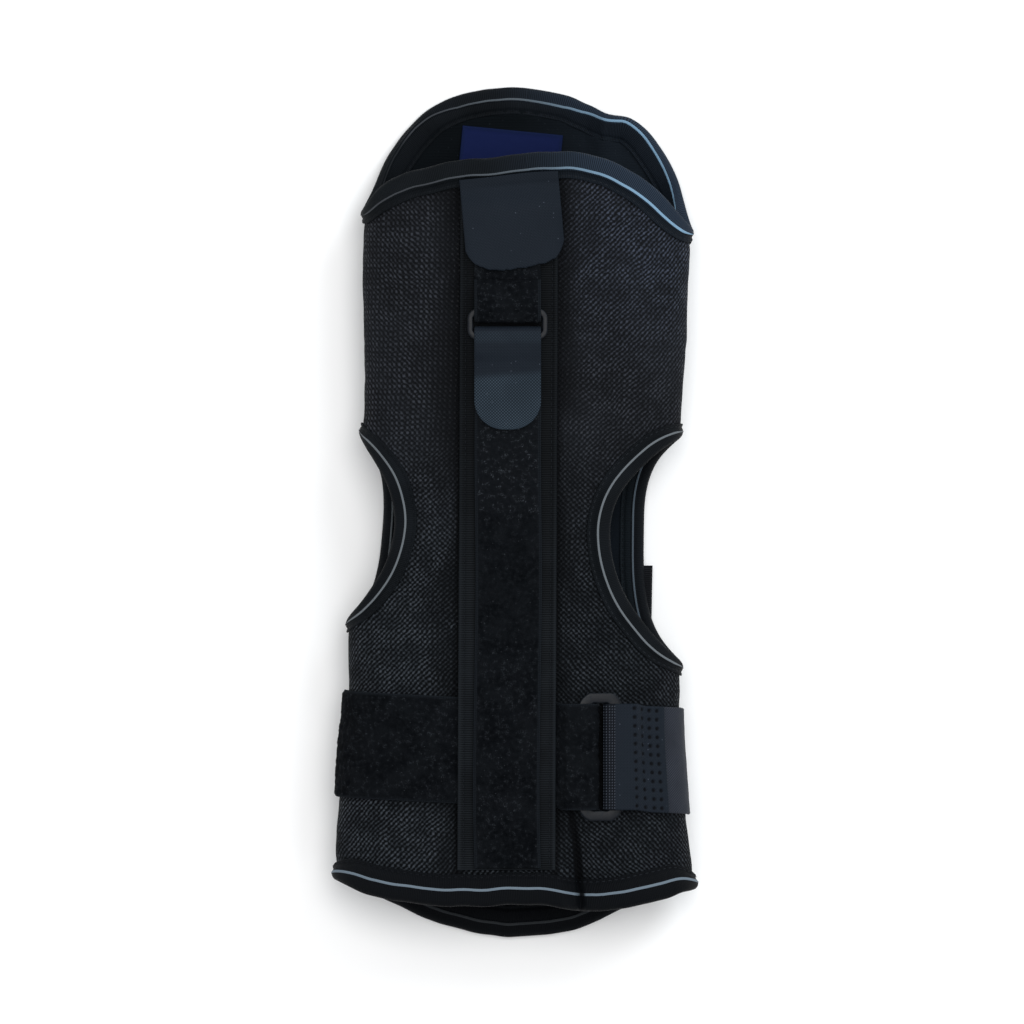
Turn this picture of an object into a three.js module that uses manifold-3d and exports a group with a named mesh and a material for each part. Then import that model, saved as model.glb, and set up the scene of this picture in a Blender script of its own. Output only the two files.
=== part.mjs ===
// Night splint for the foot and lower leg, lying on its back with the shin side up.
// A padded mesh tube runs from the calf (+Y) to the toes (-Y). It has an oval opening at each ankle,
// bound edges, a raised sleeve down the front, a pull strap with a ring on that sleeve, and a strap
// with a second ring round the foot. Millimetres, +Z up, origin under the middle of the brace.
import * as THREE from 'three';
import { mergeVertices } from 'three/addons/utils/BufferGeometryUtils.js';
import Module from 'manifold-3d';

// Overall size of the brace
const halfLength = 204; // middle of the brace to either end of the back panel
const halfWidth = 87; // middle of the brace to the side of the toe end
const crownHeight = 57; // floor to the top of the front panel
const seamHeight = 26; // floor to the widest line of the tube
const restFlattening = 2; // how far the weight presses the rounded back flat

// Cloth, tape and strap thicknesses
const panelThickness = 3.5; // padded mesh with its lining
const tapeThickness = 0.9; // folded edge tape, each layer
const pileThickness = 2.2; // loop strap
const hookThickness = 1.6; // hook tabs and plain webbing
const sleeveThickness = 2.6; // webbing sleeve with the flat stay inside it
const labelThickness = 0.8;
const gap = 0.4; // play between layers
const tapePlay = 0.6; // play inside a folded edge tape

// Outline of the calf and toe ends
const calfSeamLeft = 146; // height of the calf rim at each side seam
const calfSeamRight = 137;
const calfFrontRise = 32; // front rim above its side seams
const calfBackRise = 62.5;
const toeSeamLeft = -176.5;
const toeSeamRight = -181;
const toeFrontDrop = 11; // front rim below its side seams
const toeBackDrop = 25.6;
const rimTapeWidth = 13;
const ankleTapeWidth = 11.5;
const tapeWidthAtSeam = 7; // every edge tape narrows where it crosses a side seam
const tapeNarrowing = 26; // over this length on both sides of the seam
const tapeFold = 1.6; // length of the rounded fold of a tape
const tapeFoldDrop = 1.2; // and how far it rounds off
const clothSetback = 1.3; // the cloth stops this far inside the fold of a tape
const seamPlay = 0.2; // each panel stops this far from the side seam

// Ankle openings, measured on the flat cloth from the side seam and along the brace
const ankleTop = 36;
const ankleWidest = -9.5;
const leftAnkleBottom = -51;
const rightAnkleBottom = -71.5;
const leftAnkleFront = 30;
const leftAnkleBack = 22;
const rightAnkleFront = 46.5;
const rightAnkleBack = 27.5;
const frontOval = { power: 1.9, root: 0.62 }; // a soft oval
const backOval = { power: 3.5, root: 0.6 }; // straighter along the heel band

// Sleeve down the front
const sleeveWidth = 47;
const sleeveTopX = -2.9;
const sleeveToeX = -4.8;
const sleeveToeEnd = -171.5;
const sleeveEndPlay = 0.6; // sleeve to the calf end's tape
const sleeveShoulder = 0.6; // how far its long edges slope down
const sleeveFlat = 0.86; // share of its width between those slopes
const sleeveTaper = 16; // the stay stops this far from both ends of the sleeve
const strapLiftMargin = 5; // the sleeve lies high this far past both edges of the foot strap
const strapLiftRamp = 12;

// Pull strap, its ring and tabs
const pullWidth = 32;
const pullX = -4;
const pullToeEnd = -170.5;
const pullTopEnd = 141;
const pullRingY = 89.8;
const pullRingHeight = 15.4;
const pullBar = 3.6;
const barThickness = 2.2;
const ringBevel = 0.4;
const windowCorner = 1;
const windowPlay = 0.6; // strap's edge to the end of a ring's window
const pullRingCorner = 4.5;
const pullRingSide = 2.6;
const pullTabLength = 50.4; // ring to the rounded end
const pullTabCorner = 14;
const lockTabWidth = 47.5;
const lockTabLength = 41; // edge tape to the rounded end
const lockTabCorner = 10;
const lockTabLean = 5; // degrees
const lockTabTurn = 12; // over this length its top turns to run along the edge tape
const strapEndPlay = 3; // the lock tab is level this far before the strap's end under it

// Foot strap, its ring and tab
const footStrapWidth = 50;
const footStrapLeftY = -111.4;
const footStrapRightY = -121;
const footRingX = 41.8;
const footRingWidth = 20.6;
const footRingBar = 6;
const footRingEnd = 4.6;
const footRingCorner = 5;
const footTabEnd = 28.5; // ring's middle to the end of the hook tab
const footElasticStart = 23; // ring's middle to the hidden end of the webbing under it
const foldedLeg = 5; // strap folded back under a ring, past the bar
const strapDescent = 6; // past its fold, a strap comes down from a ring over this length

// Heel strap on the back, and the woven label inside the calf end
const heelStrapWidth = 31.5;
const heelStrapY = -41.5;
const heelStrapRamp = 9; // over this length it comes down from the ankle tapes
const heelStrapInset = 9; // how far its other end stops short of the left ankle's edge
const heelStrapOverhang = 1.2; // how far its end stands out past the ankle tape
const labelWidth = 46;
const labelHeight = 20;
const labelX = -2.6;
const labelY = 172;
const labelLean = -4; // degrees

// Sections of the tube. along is a share of halfLength, left and right of halfWidth, crown of crownHeight,
// and rest is 0 where only the edge tape lies under the back panel and 1 where the foot strap does.
const tubeSections = [
  { along: -1.0, left: 1.0, right: 1.0, crown: 1.0, rest: 1 },
  { along: -0.93, left: 1.0, right: 0.996, crown: 1.0, rest: 1 },
  { along: -0.83, left: 0.998, right: 0.966, crown: 0.995, rest: 1 },
  { along: -0.73, left: 0.99, right: 0.944, crown: 0.985, rest: 1 },
  { along: -0.59, left: 0.962, right: 0.922, crown: 0.98, rest: 1 },
  { along: -0.42, left: 0.926, right: 0.902, crown: 0.98, rest: 1 },
  { along: -0.25, left: 0.922, right: 0.902, crown: 0.965, rest: 1 },
  { along: 0.0, left: 0.87, right: 0.906, crown: 0.95, rest: 0.7 },
  { along: 0.2, left: 0.845, right: 0.912, crown: 0.96, rest: 0 },
  { along: 0.49, left: 0.843, right: 0.952, crown: 0.985, rest: 0 },
  { along: 0.72, left: 0.843, right: 0.964, crown: 1.0, rest: 0 },
  { along: 1.0, left: 0.843, right: 0.964, crown: 1.0, rest: 0 },
];

// Rims. across runs from -1 at the left seam to 1 at the right, and rise is a share of that rim's rise.
const calfFrontRim = [
  { across: -1, rise: 0 },
  { across: -0.92, rise: 0.29 },
  { across: -0.8, rise: 0.49 },
  { across: -0.52, rise: 0.72 },
  { across: -0.22, rise: 0.85 },
  { across: 0.07, rise: 0.97 },
  { across: 0.28, rise: 1.0 },
  { across: 0.45, rise: 0.96 },
  { across: 0.6, rise: 0.81 },
  { across: 0.8, rise: 0.5 },
  { across: 1, rise: 0 },
];
const calfBackRim = [
  { across: -1, rise: 0 },
  { across: -0.93, rise: 0.2 },
  { across: -0.85, rise: 0.42 },
  { across: -0.74, rise: 0.63 },
  { across: -0.6, rise: 0.8 },
  { across: -0.35, rise: 0.945 },
  { across: -0.07, rise: 1.0 },
  { across: 0.22, rise: 0.97 },
  { across: 0.38, rise: 0.9 },
  { across: 0.48, rise: 0.84 },
  { across: 0.65, rise: 0.815 },
  { across: 0.8, rise: 0.64 },
  { across: 0.92, rise: 0.36 },
  { across: 1, rise: 0 },
];
const toeFrontRim = [
  { across: -1, rise: 0 },
  { across: -0.8, rise: 0.62 },
  { across: -0.52, rise: 0.94 },
  { across: -0.25, rise: 0.95 },
  { across: 0.0, rise: 0.84 },
  { across: 0.2, rise: 0.87 },
  { across: 0.36, rise: 1.08 },
  { across: 0.54, rise: 0.96 },
  { across: 0.75, rise: 0.64 },
  { across: 1, rise: 0 },
];
const toeBackRim = [
  { across: -1, rise: 0 },
  { across: -0.8, rise: 0.25 },
  { across: -0.65, rise: 0.48 },
  { across: -0.5, rise: 0.71 },
  { across: -0.3, rise: 0.9 },
  { across: -0.05, rise: 1.0 },
  { across: 0.2, rise: 0.93 },
  { across: 0.4, rise: 0.75 },
  { across: 0.58, rise: 0.45 },
  { across: 0.75, rise: 0.22 },
  { across: 1, rise: 0 },
];

// Folds. across and drift place a fold, inner and outer are its half widths in the same shares,
// from and full say where along the brace it starts and is deepest, and depth is a share of crownHeight.
const creaseBesideSleeve = {
  across: 0.325, drift: 0.03, inner: 0.1, outer: 0.26, from: -0.68, full: -0.93, depth: -0.13,
};
const foldInCalfBack = {
  across: 0.47, drift: 0.0, inner: 0.11, outer: 0.11, from: 0.66, full: 0.95, depth: 0.075,
};

// Where the grid lines of the panels run round the tube: dense over the sides and at the folds
const frontColumns = [
  0, 0.045, 0.08, 0.11, 0.15, 0.21, 0.29, 0.4, 0.5, 0.6, 0.637, 0.654, 0.68, 0.73, 0.79,
  0.85, 0.89, 0.92, 0.955, 1,
];
const backColumns = [
  0, 0.045, 0.08, 0.11, 0.15, 0.2, 0.26, 0.33, 0.42, 0.5, 0.58, 0.64, 0.69, 0.74, 0.8,
  0.85, 0.89, 0.92, 0.955, 1,
];
const heelColumns = [
  0, 0.04, 0.08, 0.12, 0.16, 0.22, 0.3, 0.4, 0.5, 0.6, 0.7, 0.78, 0.84, 0.88, 0.92, 0.96, 1,
];
const calfRows = 6;
const ankleRows = 7;
const toeRows = 6;

const ankleTapeStep = 9; // the ankle tapes have two sections for each such length of the opening

const crownPower = 2.6; // how square the section of the tube is
const arcSteps = 48;

const radians = (degrees) => (degrees * Math.PI) / 180;
const mix = (a, b, t) => a + (b - a) * t;
const smooth = (t) => {
  const s = Math.min(1, Math.max(0, t));
  return s * s * (3 - 2 * s);
};

// Reads a column of a table at a place between its rows, along a smooth curve through them.
function readTable(rows, key, at, column) {
  const last = rows.length - 1;
  let i = 0;
  while (i < last - 1 && at > rows[i + 1][key]) i += 1;
  const row = (k) => rows[Math.min(last, Math.max(0, k))];
  const slope = (k) => {
    const span = row(k + 1)[key] - row(k - 1)[key];
    return (row(k + 1)[column] - row(k - 1)[column]) / span;
  };
  const width = row(i + 1)[key] - row(i)[key];
  const t = Math.min(1, Math.max(0, (at - row(i)[key]) / width));
  const t2 = t * t;
  const t3 = t2 * t;
  return (
    (2 * t3 - 3 * t2 + 1) * row(i)[column] +
    (t3 - 2 * t2 + t) * width * slope(i) +
    (-2 * t3 + 3 * t2) * row(i + 1)[column] +
    (t3 - t2) * width * slope(i + 1)
  );
}

// The section of the tube at a place along the brace, with a table of arc lengths for each quarter.
// Quarters: 0 left seam to the front's middle, 1 on to the right seam, 2 to the back's middle, 3 back.
const sectionCache = new Map();
function sectionAt(y) {
  const key = y.toFixed(3);
  if (sectionCache.has(key)) return sectionCache.get(key);
  const along = y / halfLength;
  const left = -halfWidth * readTable(tubeSections, 'along', along, 'left');
  const right = halfWidth * readTable(tubeSections, 'along', along, 'right');
  const crown = crownHeight * readTable(tubeSections, 'along', along, 'crown');
  const onStrap = readTable(tubeSections, 'along', along, 'rest');
  const rest = mix(tapePlay + tapeThickness, gap + pileThickness, onStrap);
  const section = {
    along, crown, rest,
    middle: (left + right) / 2,
    reach: (right - left) / 2,
    above: crown - seamHeight,
    below: seamHeight - rest + restFlattening,
  };
  section.quarters = [0, 1, 2, 3].map((k) => {
    const lengths = [0];
    let before = sectionPoint(section, Math.PI * (1 - k / 2));
    for (let i = 1; i <= arcSteps; i += 1) {
      const here = sectionPoint(section, Math.PI * (1 - k / 2 - i / (2 * arcSteps)));
      lengths.push(lengths[i - 1] + Math.hypot(here.x - before.x, here.z - before.z));
      before = here;
    }
    return lengths;
  });
  sectionCache.set(key, section);
  return section;
}

// The outer face of the tube at an angle of its section, and the direction that points out of it.
function sectionPoint(section, angle) {
  const c = Math.cos(angle);
  const s = Math.sin(angle);
  const across = Math.sign(c) * Math.abs(c) ** (2 / crownPower);
  const up = Math.sign(s) * Math.abs(s) ** (2 / crownPower);
  const height = up > 0 ? section.above : section.below;
  const free = seamHeight + height * up;
  const flat = free < section.rest;
  const nx = flat ? 0 : (Math.sign(c) * Math.abs(across) ** (crownPower - 1)) / section.reach;
  const nz = flat ? -1 : (Math.sign(s) * Math.abs(up) ** (crownPower - 1)) / height;
  const size = Math.hypot(nx, nz);
  return {
    across,
    x: section.middle + section.reach * across,
    z: flat ? section.rest : free,
    nx: nx / size,
    nz: nz / size,
  };
}

// How much a fold lifts or lowers the cloth.
function foldLift(fold, across, along) {
  const deep = smooth((along - fold.from) / (fold.full - fold.from));
  const off = across - fold.across - fold.drift * deep;
  const near = Math.max(0, 1 - Math.abs(off) / (off < 0 ? fold.inner : fold.outer));
  return crownHeight * fold.depth * deep * near ** 1.4;
}

const quarterLength = (y, quarter) => sectionAt(y).quarters[quarter][arcSteps];

// A point of the tube: around counts quarters from the left seam over the front, and out is the
// distance from the outer face.
function skin(around, y, out) {
  const turn = ((around % 4) + 4) % 4;
  const section = sectionAt(y);
  const quarter = Math.min(3, Math.floor(turn));
  const lengths = section.quarters[quarter];
  const target = (turn - quarter) * lengths[arcSteps];
  let i = 0;
  while (i < arcSteps - 1 && lengths[i + 1] < target) i += 1;
  const part = (target - lengths[i]) / (lengths[i + 1] - lengths[i]);
  const p = sectionPoint(section, Math.PI * (1 - quarter / 2 - (i + part) / (2 * arcSteps)));
  const fold = turn < 2 ? creaseBesideSleeve : foldInCalfBack;
  const lift = foldLift(fold, p.across, section.along);
  return new THREE.Vector3(p.x + p.nx * out, y, p.z + p.nz * out + lift);
}

// Height of the front panel's outer face over a place on the floor plan.
function frontHeight(x, y) {
  const section = sectionAt(y);
  const across = (x - section.middle) / section.reach;
  const up = (1 - Math.abs(across) ** crownPower) ** (1 / crownPower);
  return seamHeight + section.above * up + foldLift(creaseBesideSleeve, across, section.along);
}

// Quarters round the tube, from the left seam, of a place on the front given by its x.
function aroundAtX(x, y) {
  const section = sectionAt(y);
  let low = 0;
  let high = 2;
  for (let i = 0; i < 40; i += 1) {
    const middle = (low + high) / 2;
    if (skin(middle, section.along * halfLength, 0).x < x) low = middle;
    else high = middle;
  }
  return low;
}

// Closed geometry from points and triangles, turned to face out.
function closedGeometry(points, triangles) {
  let volume = 0;
  for (const [a, b, c] of triangles) {
    volume += points[a].dot(new THREE.Vector3().crossVectors(points[b], points[c]));
  }
  const faces = volume < 0 ? triangles.map(([a, b, c]) => [a, c, b]) : triangles;
  const geometry = new THREE.BufferGeometry();
  geometry.setAttribute(
    'position',
    new THREE.Float32BufferAttribute(points.flatMap((p) => [p.x, p.y, p.z]), 3),
  );
  geometry.setIndex(faces.flat());
  geometry.computeVertexNormals();
  return geometry;
}

// Two triangles for four corners, split along the shorter diagonal.
function splitQuad(points, a, b, c, d) {
  const acrossAC = points[a].distanceTo(points[c]);
  const acrossBD = points[b].distanceTo(points[d]);
  return acrossAC <= acrossBD ? [[a, b, c], [a, c, d]] : [[a, b, d], [b, c, d]];
}

// A wall between two grids of the same size, closed round its edge.
function wall(outer, inner) {
  const rows = outer.length;
  const columns = outer[0].length;
  const points = [...outer.flat(), ...inner.flat()];
  const at = (i, j, face) => face * rows * columns + i * columns + j;
  const triangles = [];
  const quad = (...corners) => triangles.push(...splitQuad(points, ...corners));
  for (let i = 0; i < rows - 1; i += 1) {
    for (let j = 0; j < columns - 1; j += 1) {
      quad(at(i, j, 0), at(i, j + 1, 0), at(i + 1, j + 1, 0), at(i + 1, j, 0));
      quad(at(i, j, 1), at(i + 1, j, 1), at(i + 1, j + 1, 1), at(i, j + 1, 1));
    }
    quad(at(i, 0, 0), at(i + 1, 0, 0), at(i + 1, 0, 1), at(i, 0, 1));
    const edge = columns - 1;
    quad(at(i, edge, 0), at(i, edge, 1), at(i + 1, edge, 1), at(i + 1, edge, 0));
  }
  for (let j = 0; j < columns - 1; j += 1) {
    quad(at(0, j, 0), at(0, j, 1), at(0, j + 1, 1), at(0, j + 1, 0));
    const end = rows - 1;
    quad(at(end, j, 0), at(end, j + 1, 0), at(end, j + 1, 1), at(end, j, 1));
  }
  return closedGeometry(points, triangles);
}

// A closed hoop: every section is the same ring of points.
function hoop(sections) {
  const count = sections.length;
  const around = sections[0].length;
  const points = sections.flat();
  const triangles = [];
  for (let k = 0; k < count; k += 1) {
    for (let p = 0; p < around; p += 1) {
      const next = (k + 1) % count;
      const beside = (p + 1) % around;
      const a = k * around + p;
      const b = k * around + beside;
      const c = next * around + beside;
      const d = next * around + p;
      triangles.push(...splitQuad(points, a, b, c, d));
    }
  }
  return closedGeometry(points, triangles);
}

const wasm = await Module();
wasm.setup();
function solidOf(geometry) {
  const plain = geometry.clone();
  plain.deleteAttribute('normal');
  const merged = mergeVertices(plain, 1e-3);
  return new wasm.Manifold(
    new wasm.Mesh({
      numProp: 3,
      vertProperties: merged.attributes.position.array,
      triVerts: new Uint32Array(merged.index.array),
    }),
  );
}
function geometryOf(solid) {
  const mesh = solid.getMesh();
  const geometry = new THREE.BufferGeometry();
  geometry.setAttribute('position', new THREE.BufferAttribute(mesh.vertProperties, 3));
  geometry.setIndex(new THREE.BufferAttribute(mesh.triVerts, 1));
  geometry.computeVertexNormals();
  return geometry;
}

// The section of a folded edge tape: in is the distance from the free edge, out from the outer face.
function tapeSection(width, withMiddle) {
  const outside = tapePlay + tapeThickness;
  const inside = -panelThickness - outside;
  const middle = width / 2;
  const section = [
    { in: width, out: tapePlay },
    { in: width, out: outside },
    { in: middle, out: outside, middle: true },
    { in: tapeFold, out: outside },
    { in: 0, out: outside - tapeFoldDrop },
    { in: 0, out: inside + tapeFoldDrop },
    { in: tapeFold, out: inside },
    { in: middle, out: inside, middle: true },
    { in: width, out: inside },
    { in: width, out: -panelThickness - tapePlay },
    { in: middle, out: -panelThickness - tapePlay, middle: true },
    { in: tapeThickness, out: -panelThickness - tapePlay },
    { in: tapeThickness, out: tapePlay },
    { in: middle, out: tapePlay, middle: true },
  ];
  return section.filter((p) => withMiddle || !p.middle);
}

const tapeWidth = (full, fromSeam) => mix(tapeWidthAtSeam, full, smooth(fromSeam / tapeNarrowing));

// How far the rim of the calf or toe end lies along the brace, for a place round the tube.
const calfEnd = {
  inward: -1, left: calfSeamLeft, right: calfSeamRight, at: (calfSeamLeft + calfSeamRight) / 2,
  front: calfFrontRim, back: calfBackRim, frontRise: calfFrontRise, backRise: calfBackRise,
};
const toeEnd = {
  inward: 1, left: toeSeamLeft, right: toeSeamRight, at: (toeSeamLeft + toeSeamRight) / 2,
  front: toeFrontRim, back: toeBackRim, frontRise: toeFrontDrop, backRise: toeBackDrop,
};
function acrossShare(around, y) {
  const section = sectionAt(y);
  return (skin(around, y, 0).x - section.middle) / section.reach;
}
function rimHeight(end, around) {
  const turn = ((around % 4) + 4) % 4;
  const across = Math.min(1, Math.max(-1, acrossShare(turn, end.at)));
  const base = mix(end.left, end.right, (across + 1) / 2);
  const front = turn <= 2;
  const rise = readTable(front ? end.front : end.back, 'across', across, 'rise');
  return base - end.inward * rise * (front ? end.frontRise : end.backRise);
}

const lengthFromSeam = (end, around) =>
  Math.abs(around - 2 * Math.round(around / 2)) * quarterLength(end.at, 0);

// A place on the cloth at a distance in from the rim, square to the rim but along the seam at a seam.
const seamTurning = 0.3; // quarters from a seam over which the direction turns
function rimPlace(end, around, distance) {
  const step = 0.04;
  const y = rimHeight(end, around);
  const quarter = Math.floor(((around % 4) + 4) % 4);
  const length = quarterLength(y, quarter);
  const tangentS = 2 * step * length;
  const tangentY = rimHeight(end, around + step) - rimHeight(end, around - step);
  const size = Math.hypot(tangentS, tangentY);
  const fromSeam = Math.abs(around - 2 * Math.round(around / 2));
  const turned = (-end.inward * tangentY * smooth(fromSeam / seamTurning)) / size;
  const forward = (size + end.inward * tangentY * turned) / tangentS;
  return {
    around: around + (turned * distance) / length,
    y: y + end.inward * forward * distance,
  };
}

// A place beside a side seam of the cloth: forward is the distance from the seam towards the front.
function besideSeam(side, forward, y) {
  const quarter = side === 'left' ? (forward >= 0 ? 0 : 3) : forward >= 0 ? 1 : 2;
  const turns = forward / quarterLength(y, quarter);
  return side === 'left' ? turns : 2 - turns;
}

// The ankle openings. forward is the half width of the hole on the front panel, back on the back panel.
const ankles = {
  left: { side: 'left', bottom: leftAnkleBottom, front: leftAnkleFront, back: leftAnkleBack },
  right: { side: 'right', bottom: rightAnkleBottom, front: rightAnkleFront, back: rightAnkleBack },
};
function ankleReach(ankle, y, panel) {
  const half = y > ankleWidest ? ankleTop - ankleWidest : ankleWidest - ankle.bottom;
  const oval = panel === 'front' ? frontOval : backOval;
  return ankle[panel] * (1 - (Math.abs(y - ankleWidest) / half) ** oval.power) ** oval.root;
}

// A point of an opening's outline on the flat cloth, moved out from the free edge by a distance.
function ankleOutline(ankle, angle, distance) {
  const edge = (a) => {
    const front = Math.sin(a) >= 0;
    const oval = front ? frontOval : backOval;
    const c = Math.cos(a);
    const half = c > 0 ? ankleTop - ankleWidest : ankleWidest - ankle.bottom;
    const width = front ? ankle.front : -ankle.back;
    return {
      s: width * Math.abs(Math.sin(a)) ** (2 * oval.root),
      y: ankleWidest + half * Math.sign(c) * Math.abs(c) ** (2 / oval.power),
    };
  };
  const step = 0.06;
  const here = edge(angle);
  const before = edge(angle - step);
  const after = edge(angle + step);
  const size = Math.hypot(after.s - before.s, after.y - before.y);
  return {
    s: here.s - ((after.y - before.y) * distance) / size,
    y: here.y + ((after.s - before.s) * distance) / size,
  };
}

// A plug of the shape of an ankle opening, a margin wider, through the whole wall of the tube.
function anklePlug(ankle, margin) {
  const count = 36;
  const rings = [1, 0.7, 0.35];
  const spare = panelThickness;
  const points = [];
  for (const out of [spare, -panelThickness - spare]) {
    for (const share of rings) {
      for (let k = 0; k < count; k += 1) {
        const place = ankleOutline(ankle, (2 * Math.PI * k) / count, margin);
        const y = mix(ankleWidest, place.y, share);
        points.push(skin(besideSeam(ankle.side, place.s * share, y), y, out));
      }
    }
    points.push(skin(besideSeam(ankle.side, 0, ankleWidest), ankleWidest, out));
  }
  const face = rings.length * count + 1;
  const triangles = [];
  for (let k = 0; k < count; k += 1) {
    const next = (k + 1) % count;
    for (let ring = 0; ring + 1 < rings.length; ring += 1) {
      const a = ring * count + k;
      const b = ring * count + next;
      triangles.push([a, b, b + count], [a, b + count, a + count]);
      triangles.push([face + a, face + b + count, face + b]);
      triangles.push([face + a, face + a + count, face + b + count]);
    }
    const last = (rings.length - 1) * count;
    triangles.push([last + k, last + next, face - 1], [face + last + next, face + last + k, 2 * face - 1]);
    triangles.push([k, face + k, face + next], [k, face + next, next]);
  }
  return closedGeometry(points, triangles);
}

const panelEdge = tapeThickness + clothSetback;

// A panel of the tube between its side seams, cut out at both ankles.
function panelGeometry(panel) {
  const front = panel === 'front';
  const columns = front ? frontColumns : backColumns;
  const calfLimit = ankleTop + ankleTapeWidth;
  const toeLimit = Math.min(leftAnkleBottom, rightAnkleBottom) - ankleTapeWidth;
  const aroundAt = (share, y) => {
    const sign = front ? 1 : -1;
    const from = besideSeam('left', sign * seamPlay, y);
    return mix(front ? from : from + 4, besideSeam('right', sign * seamPlay, y), share);
  };
  const endRow = (end, limit, atEdge, part) =>
    columns.map((share) => {
      const around = front ? 2 * share : 4 - 2 * share;
      const distance = atEdge ? panelEdge : tapeWidth(rimTapeWidth, lengthFromSeam(end, around));
      const rim = rimPlace(end, around, distance);
      const y = mix(limit, rim.y, part);
      const straight = aroundAt(share, y);
      const edge = share === 0 || share === 1;
      return { around: edge ? straight : mix(straight, rim.around, part), y };
    });
  const rows = [endRow(calfEnd, calfLimit, true, 1)];
  for (let i = calfRows; i > 0; i -= 1) {
    rows.push(endRow(calfEnd, calfLimit, false, i / calfRows));
  }
  for (let i = 0; i <= ankleRows; i += 1) {
    const y = mix(calfLimit, toeLimit, i / ankleRows);
    rows.push(columns.map((share) => ({ around: aroundAt(share, y), y })));
  }
  for (let i = 1; i <= toeRows; i += 1) {
    rows.push(endRow(toeEnd, toeLimit, false, i / toeRows));
  }
  rows.push(endRow(toeEnd, toeLimit, true, 1));
  const face = (out) => rows.map((row) => row.map((p) => skin(p.around, p.y, out)));
  const whole = solidOf(wall(face(0), face(-panelThickness)));
  const plugs = Object.values(ankles).map((ankle) => solidOf(anklePlug(ankle, panelEdge)));
  return geometryOf(plugs.reduce((left, plug) => left.subtract(plug), whole));
}

// A folded tape round the calf or toe end.
function rimTapeGeometry(end) {
  const places = [
    ...frontColumns.map((share) => 2 * share),
    ...backColumns.slice(1, -1).map((share) => 4 - 2 * share).reverse(),
  ].sort((a, b) => a - b);
  return hoop(
    places.map((around) => {
      const width = tapeWidth(rimTapeWidth, lengthFromSeam(end, around));
      return tapeSection(width, false).map((p) => {
        const place = rimPlace(end, around, p.in);
        return skin(place.around, place.y, p.out);
      });
    }),
  );
}

// A folded tape round an ankle opening.
function ankleTapeGeometry(ankle) {
  const count = 2 * Math.ceil((ankleTop - ankle.bottom + ankle.front + ankle.back) / ankleTapeStep);
  return hoop(
    Array.from({ length: count }, (_, k) => {
      const angle = (2 * Math.PI * k) / count;
      const fromSeam = Math.abs(ankleOutline(ankle, angle, 0).s);
      return tapeSection(tapeWidth(ankleTapeWidth, fromSeam), true).map((p) => {
        const place = ankleOutline(ankle, angle, p.in);
        return skin(besideSeam(ankle.side, place.s, place.y), place.y, p.out);
      });
    }),
  );
}

// Where the foot strap crosses under the sleeve, the sleeve rises over it.
function footStrapY(around) {
  const turn = ((around % 4) + 4) % 4;
  return turn <= 2
    ? mix(footStrapLeftY, footStrapRightY, turn / 2)
    : mix(footStrapRightY, footStrapLeftY, (turn - 2) / 2);
}
function strapLift(y) {
  const off = Math.abs(y - footStrapY(1)) - footStrapWidth / 2 - strapLiftMargin;
  return (pileThickness + gap) * (1 - smooth(off / strapLiftRamp));
}

// The sleeve down the front, thick where the stay is and thin at its sewn ends.
const sleeveX = (y) => mix(sleeveToeX, sleeveTopX, (y + halfLength) / (2 * halfLength));
const sleeveCalfEnd = (x) =>
  rimPlace(calfEnd, aroundAtX(x, calfEnd.at), rimTapeWidth + sleeveEndPlay).y;
function sleeveHeight(x, y) {
  const fromEnd = Math.min(y - sleeveToeEnd, sleeveCalfEnd(x) - y);
  const thick = mix(tapeThickness, sleeveThickness, smooth(fromEnd / sleeveTaper));
  return frontHeight(x, y) + gap + strapLift(y) + thick;
}
// Where the grid lines of the sleeve and of the strap on it cross the brace, close at the ramps.
const sleeveSlant = 30; // over this length the lines turn to run along the calf end's tape
const sleeveSpacing = 19;
const closestLines = 2;
function sleeveStations(from, to) {
  const high = footStrapWidth / 2 + strapLiftMargin;
  const ramp = [0, 0.25, 0.5, 0.75, 1].map((share) => high + share * strapLiftRamp);
  const taper = [0.3, 0.65, 1].map((share) => share * sleeveTaper);
  const start = footStrapY(1) + high + strapLiftRamp;
  const even = Array.from(
    { length: Math.ceil((to - start) / sleeveSpacing) },
    (_, i) => start + i * sleeveSpacing,
  );
  const stations = [
    ...ramp.map((off) => footStrapY(1) - off),
    footStrapY(1),
    ...ramp.map((off) => footStrapY(1) + off),
    ...taper.map((off) => sleeveToeEnd + off),
    ...taper.map((off) => sleeveCalfEnd(sleeveTopX) - off),
    ...even,
  ];
  const inside = stations
    .filter((y) => y > from + closestLines && y < to - closestLines)
    .sort((a, b) => a - b);
  return [from, ...inside.filter((y, i) => i === 0 || y - inside[i - 1] > closestLines), to];
}
function sleeveGeometry() {
  const columns = [-1, -sleeveFlat, 0, sleeveFlat, 1];
  const middleEnd = sleeveCalfEnd(sleeveX(calfEnd.at));
  const stations = sleeveStations(sleeveToeEnd, middleEnd);
  const grid = (height) =>
    stations.map((station) =>
      columns.map((share) => {
        const calfX = sleeveX(calfEnd.at) + (share * sleeveWidth) / 2;
        const near = smooth(1 - (middleEnd - station) / sleeveSlant);
        const slant = near * (sleeveCalfEnd(calfX) - middleEnd);
        const y = station + slant;
        const x = sleeveX(y) + (share * sleeveWidth) / 2;
        return new THREE.Vector3(x, y, height(x, y, Math.abs(share) === 1));
      }),
    );
  return wall(
    grid((x, y, edge) => sleeveHeight(x, y) - (edge ? sleeveShoulder : 0)),
    grid((x, y) => frontHeight(x, y) + gap + strapLift(y)),
  );
}

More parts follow.
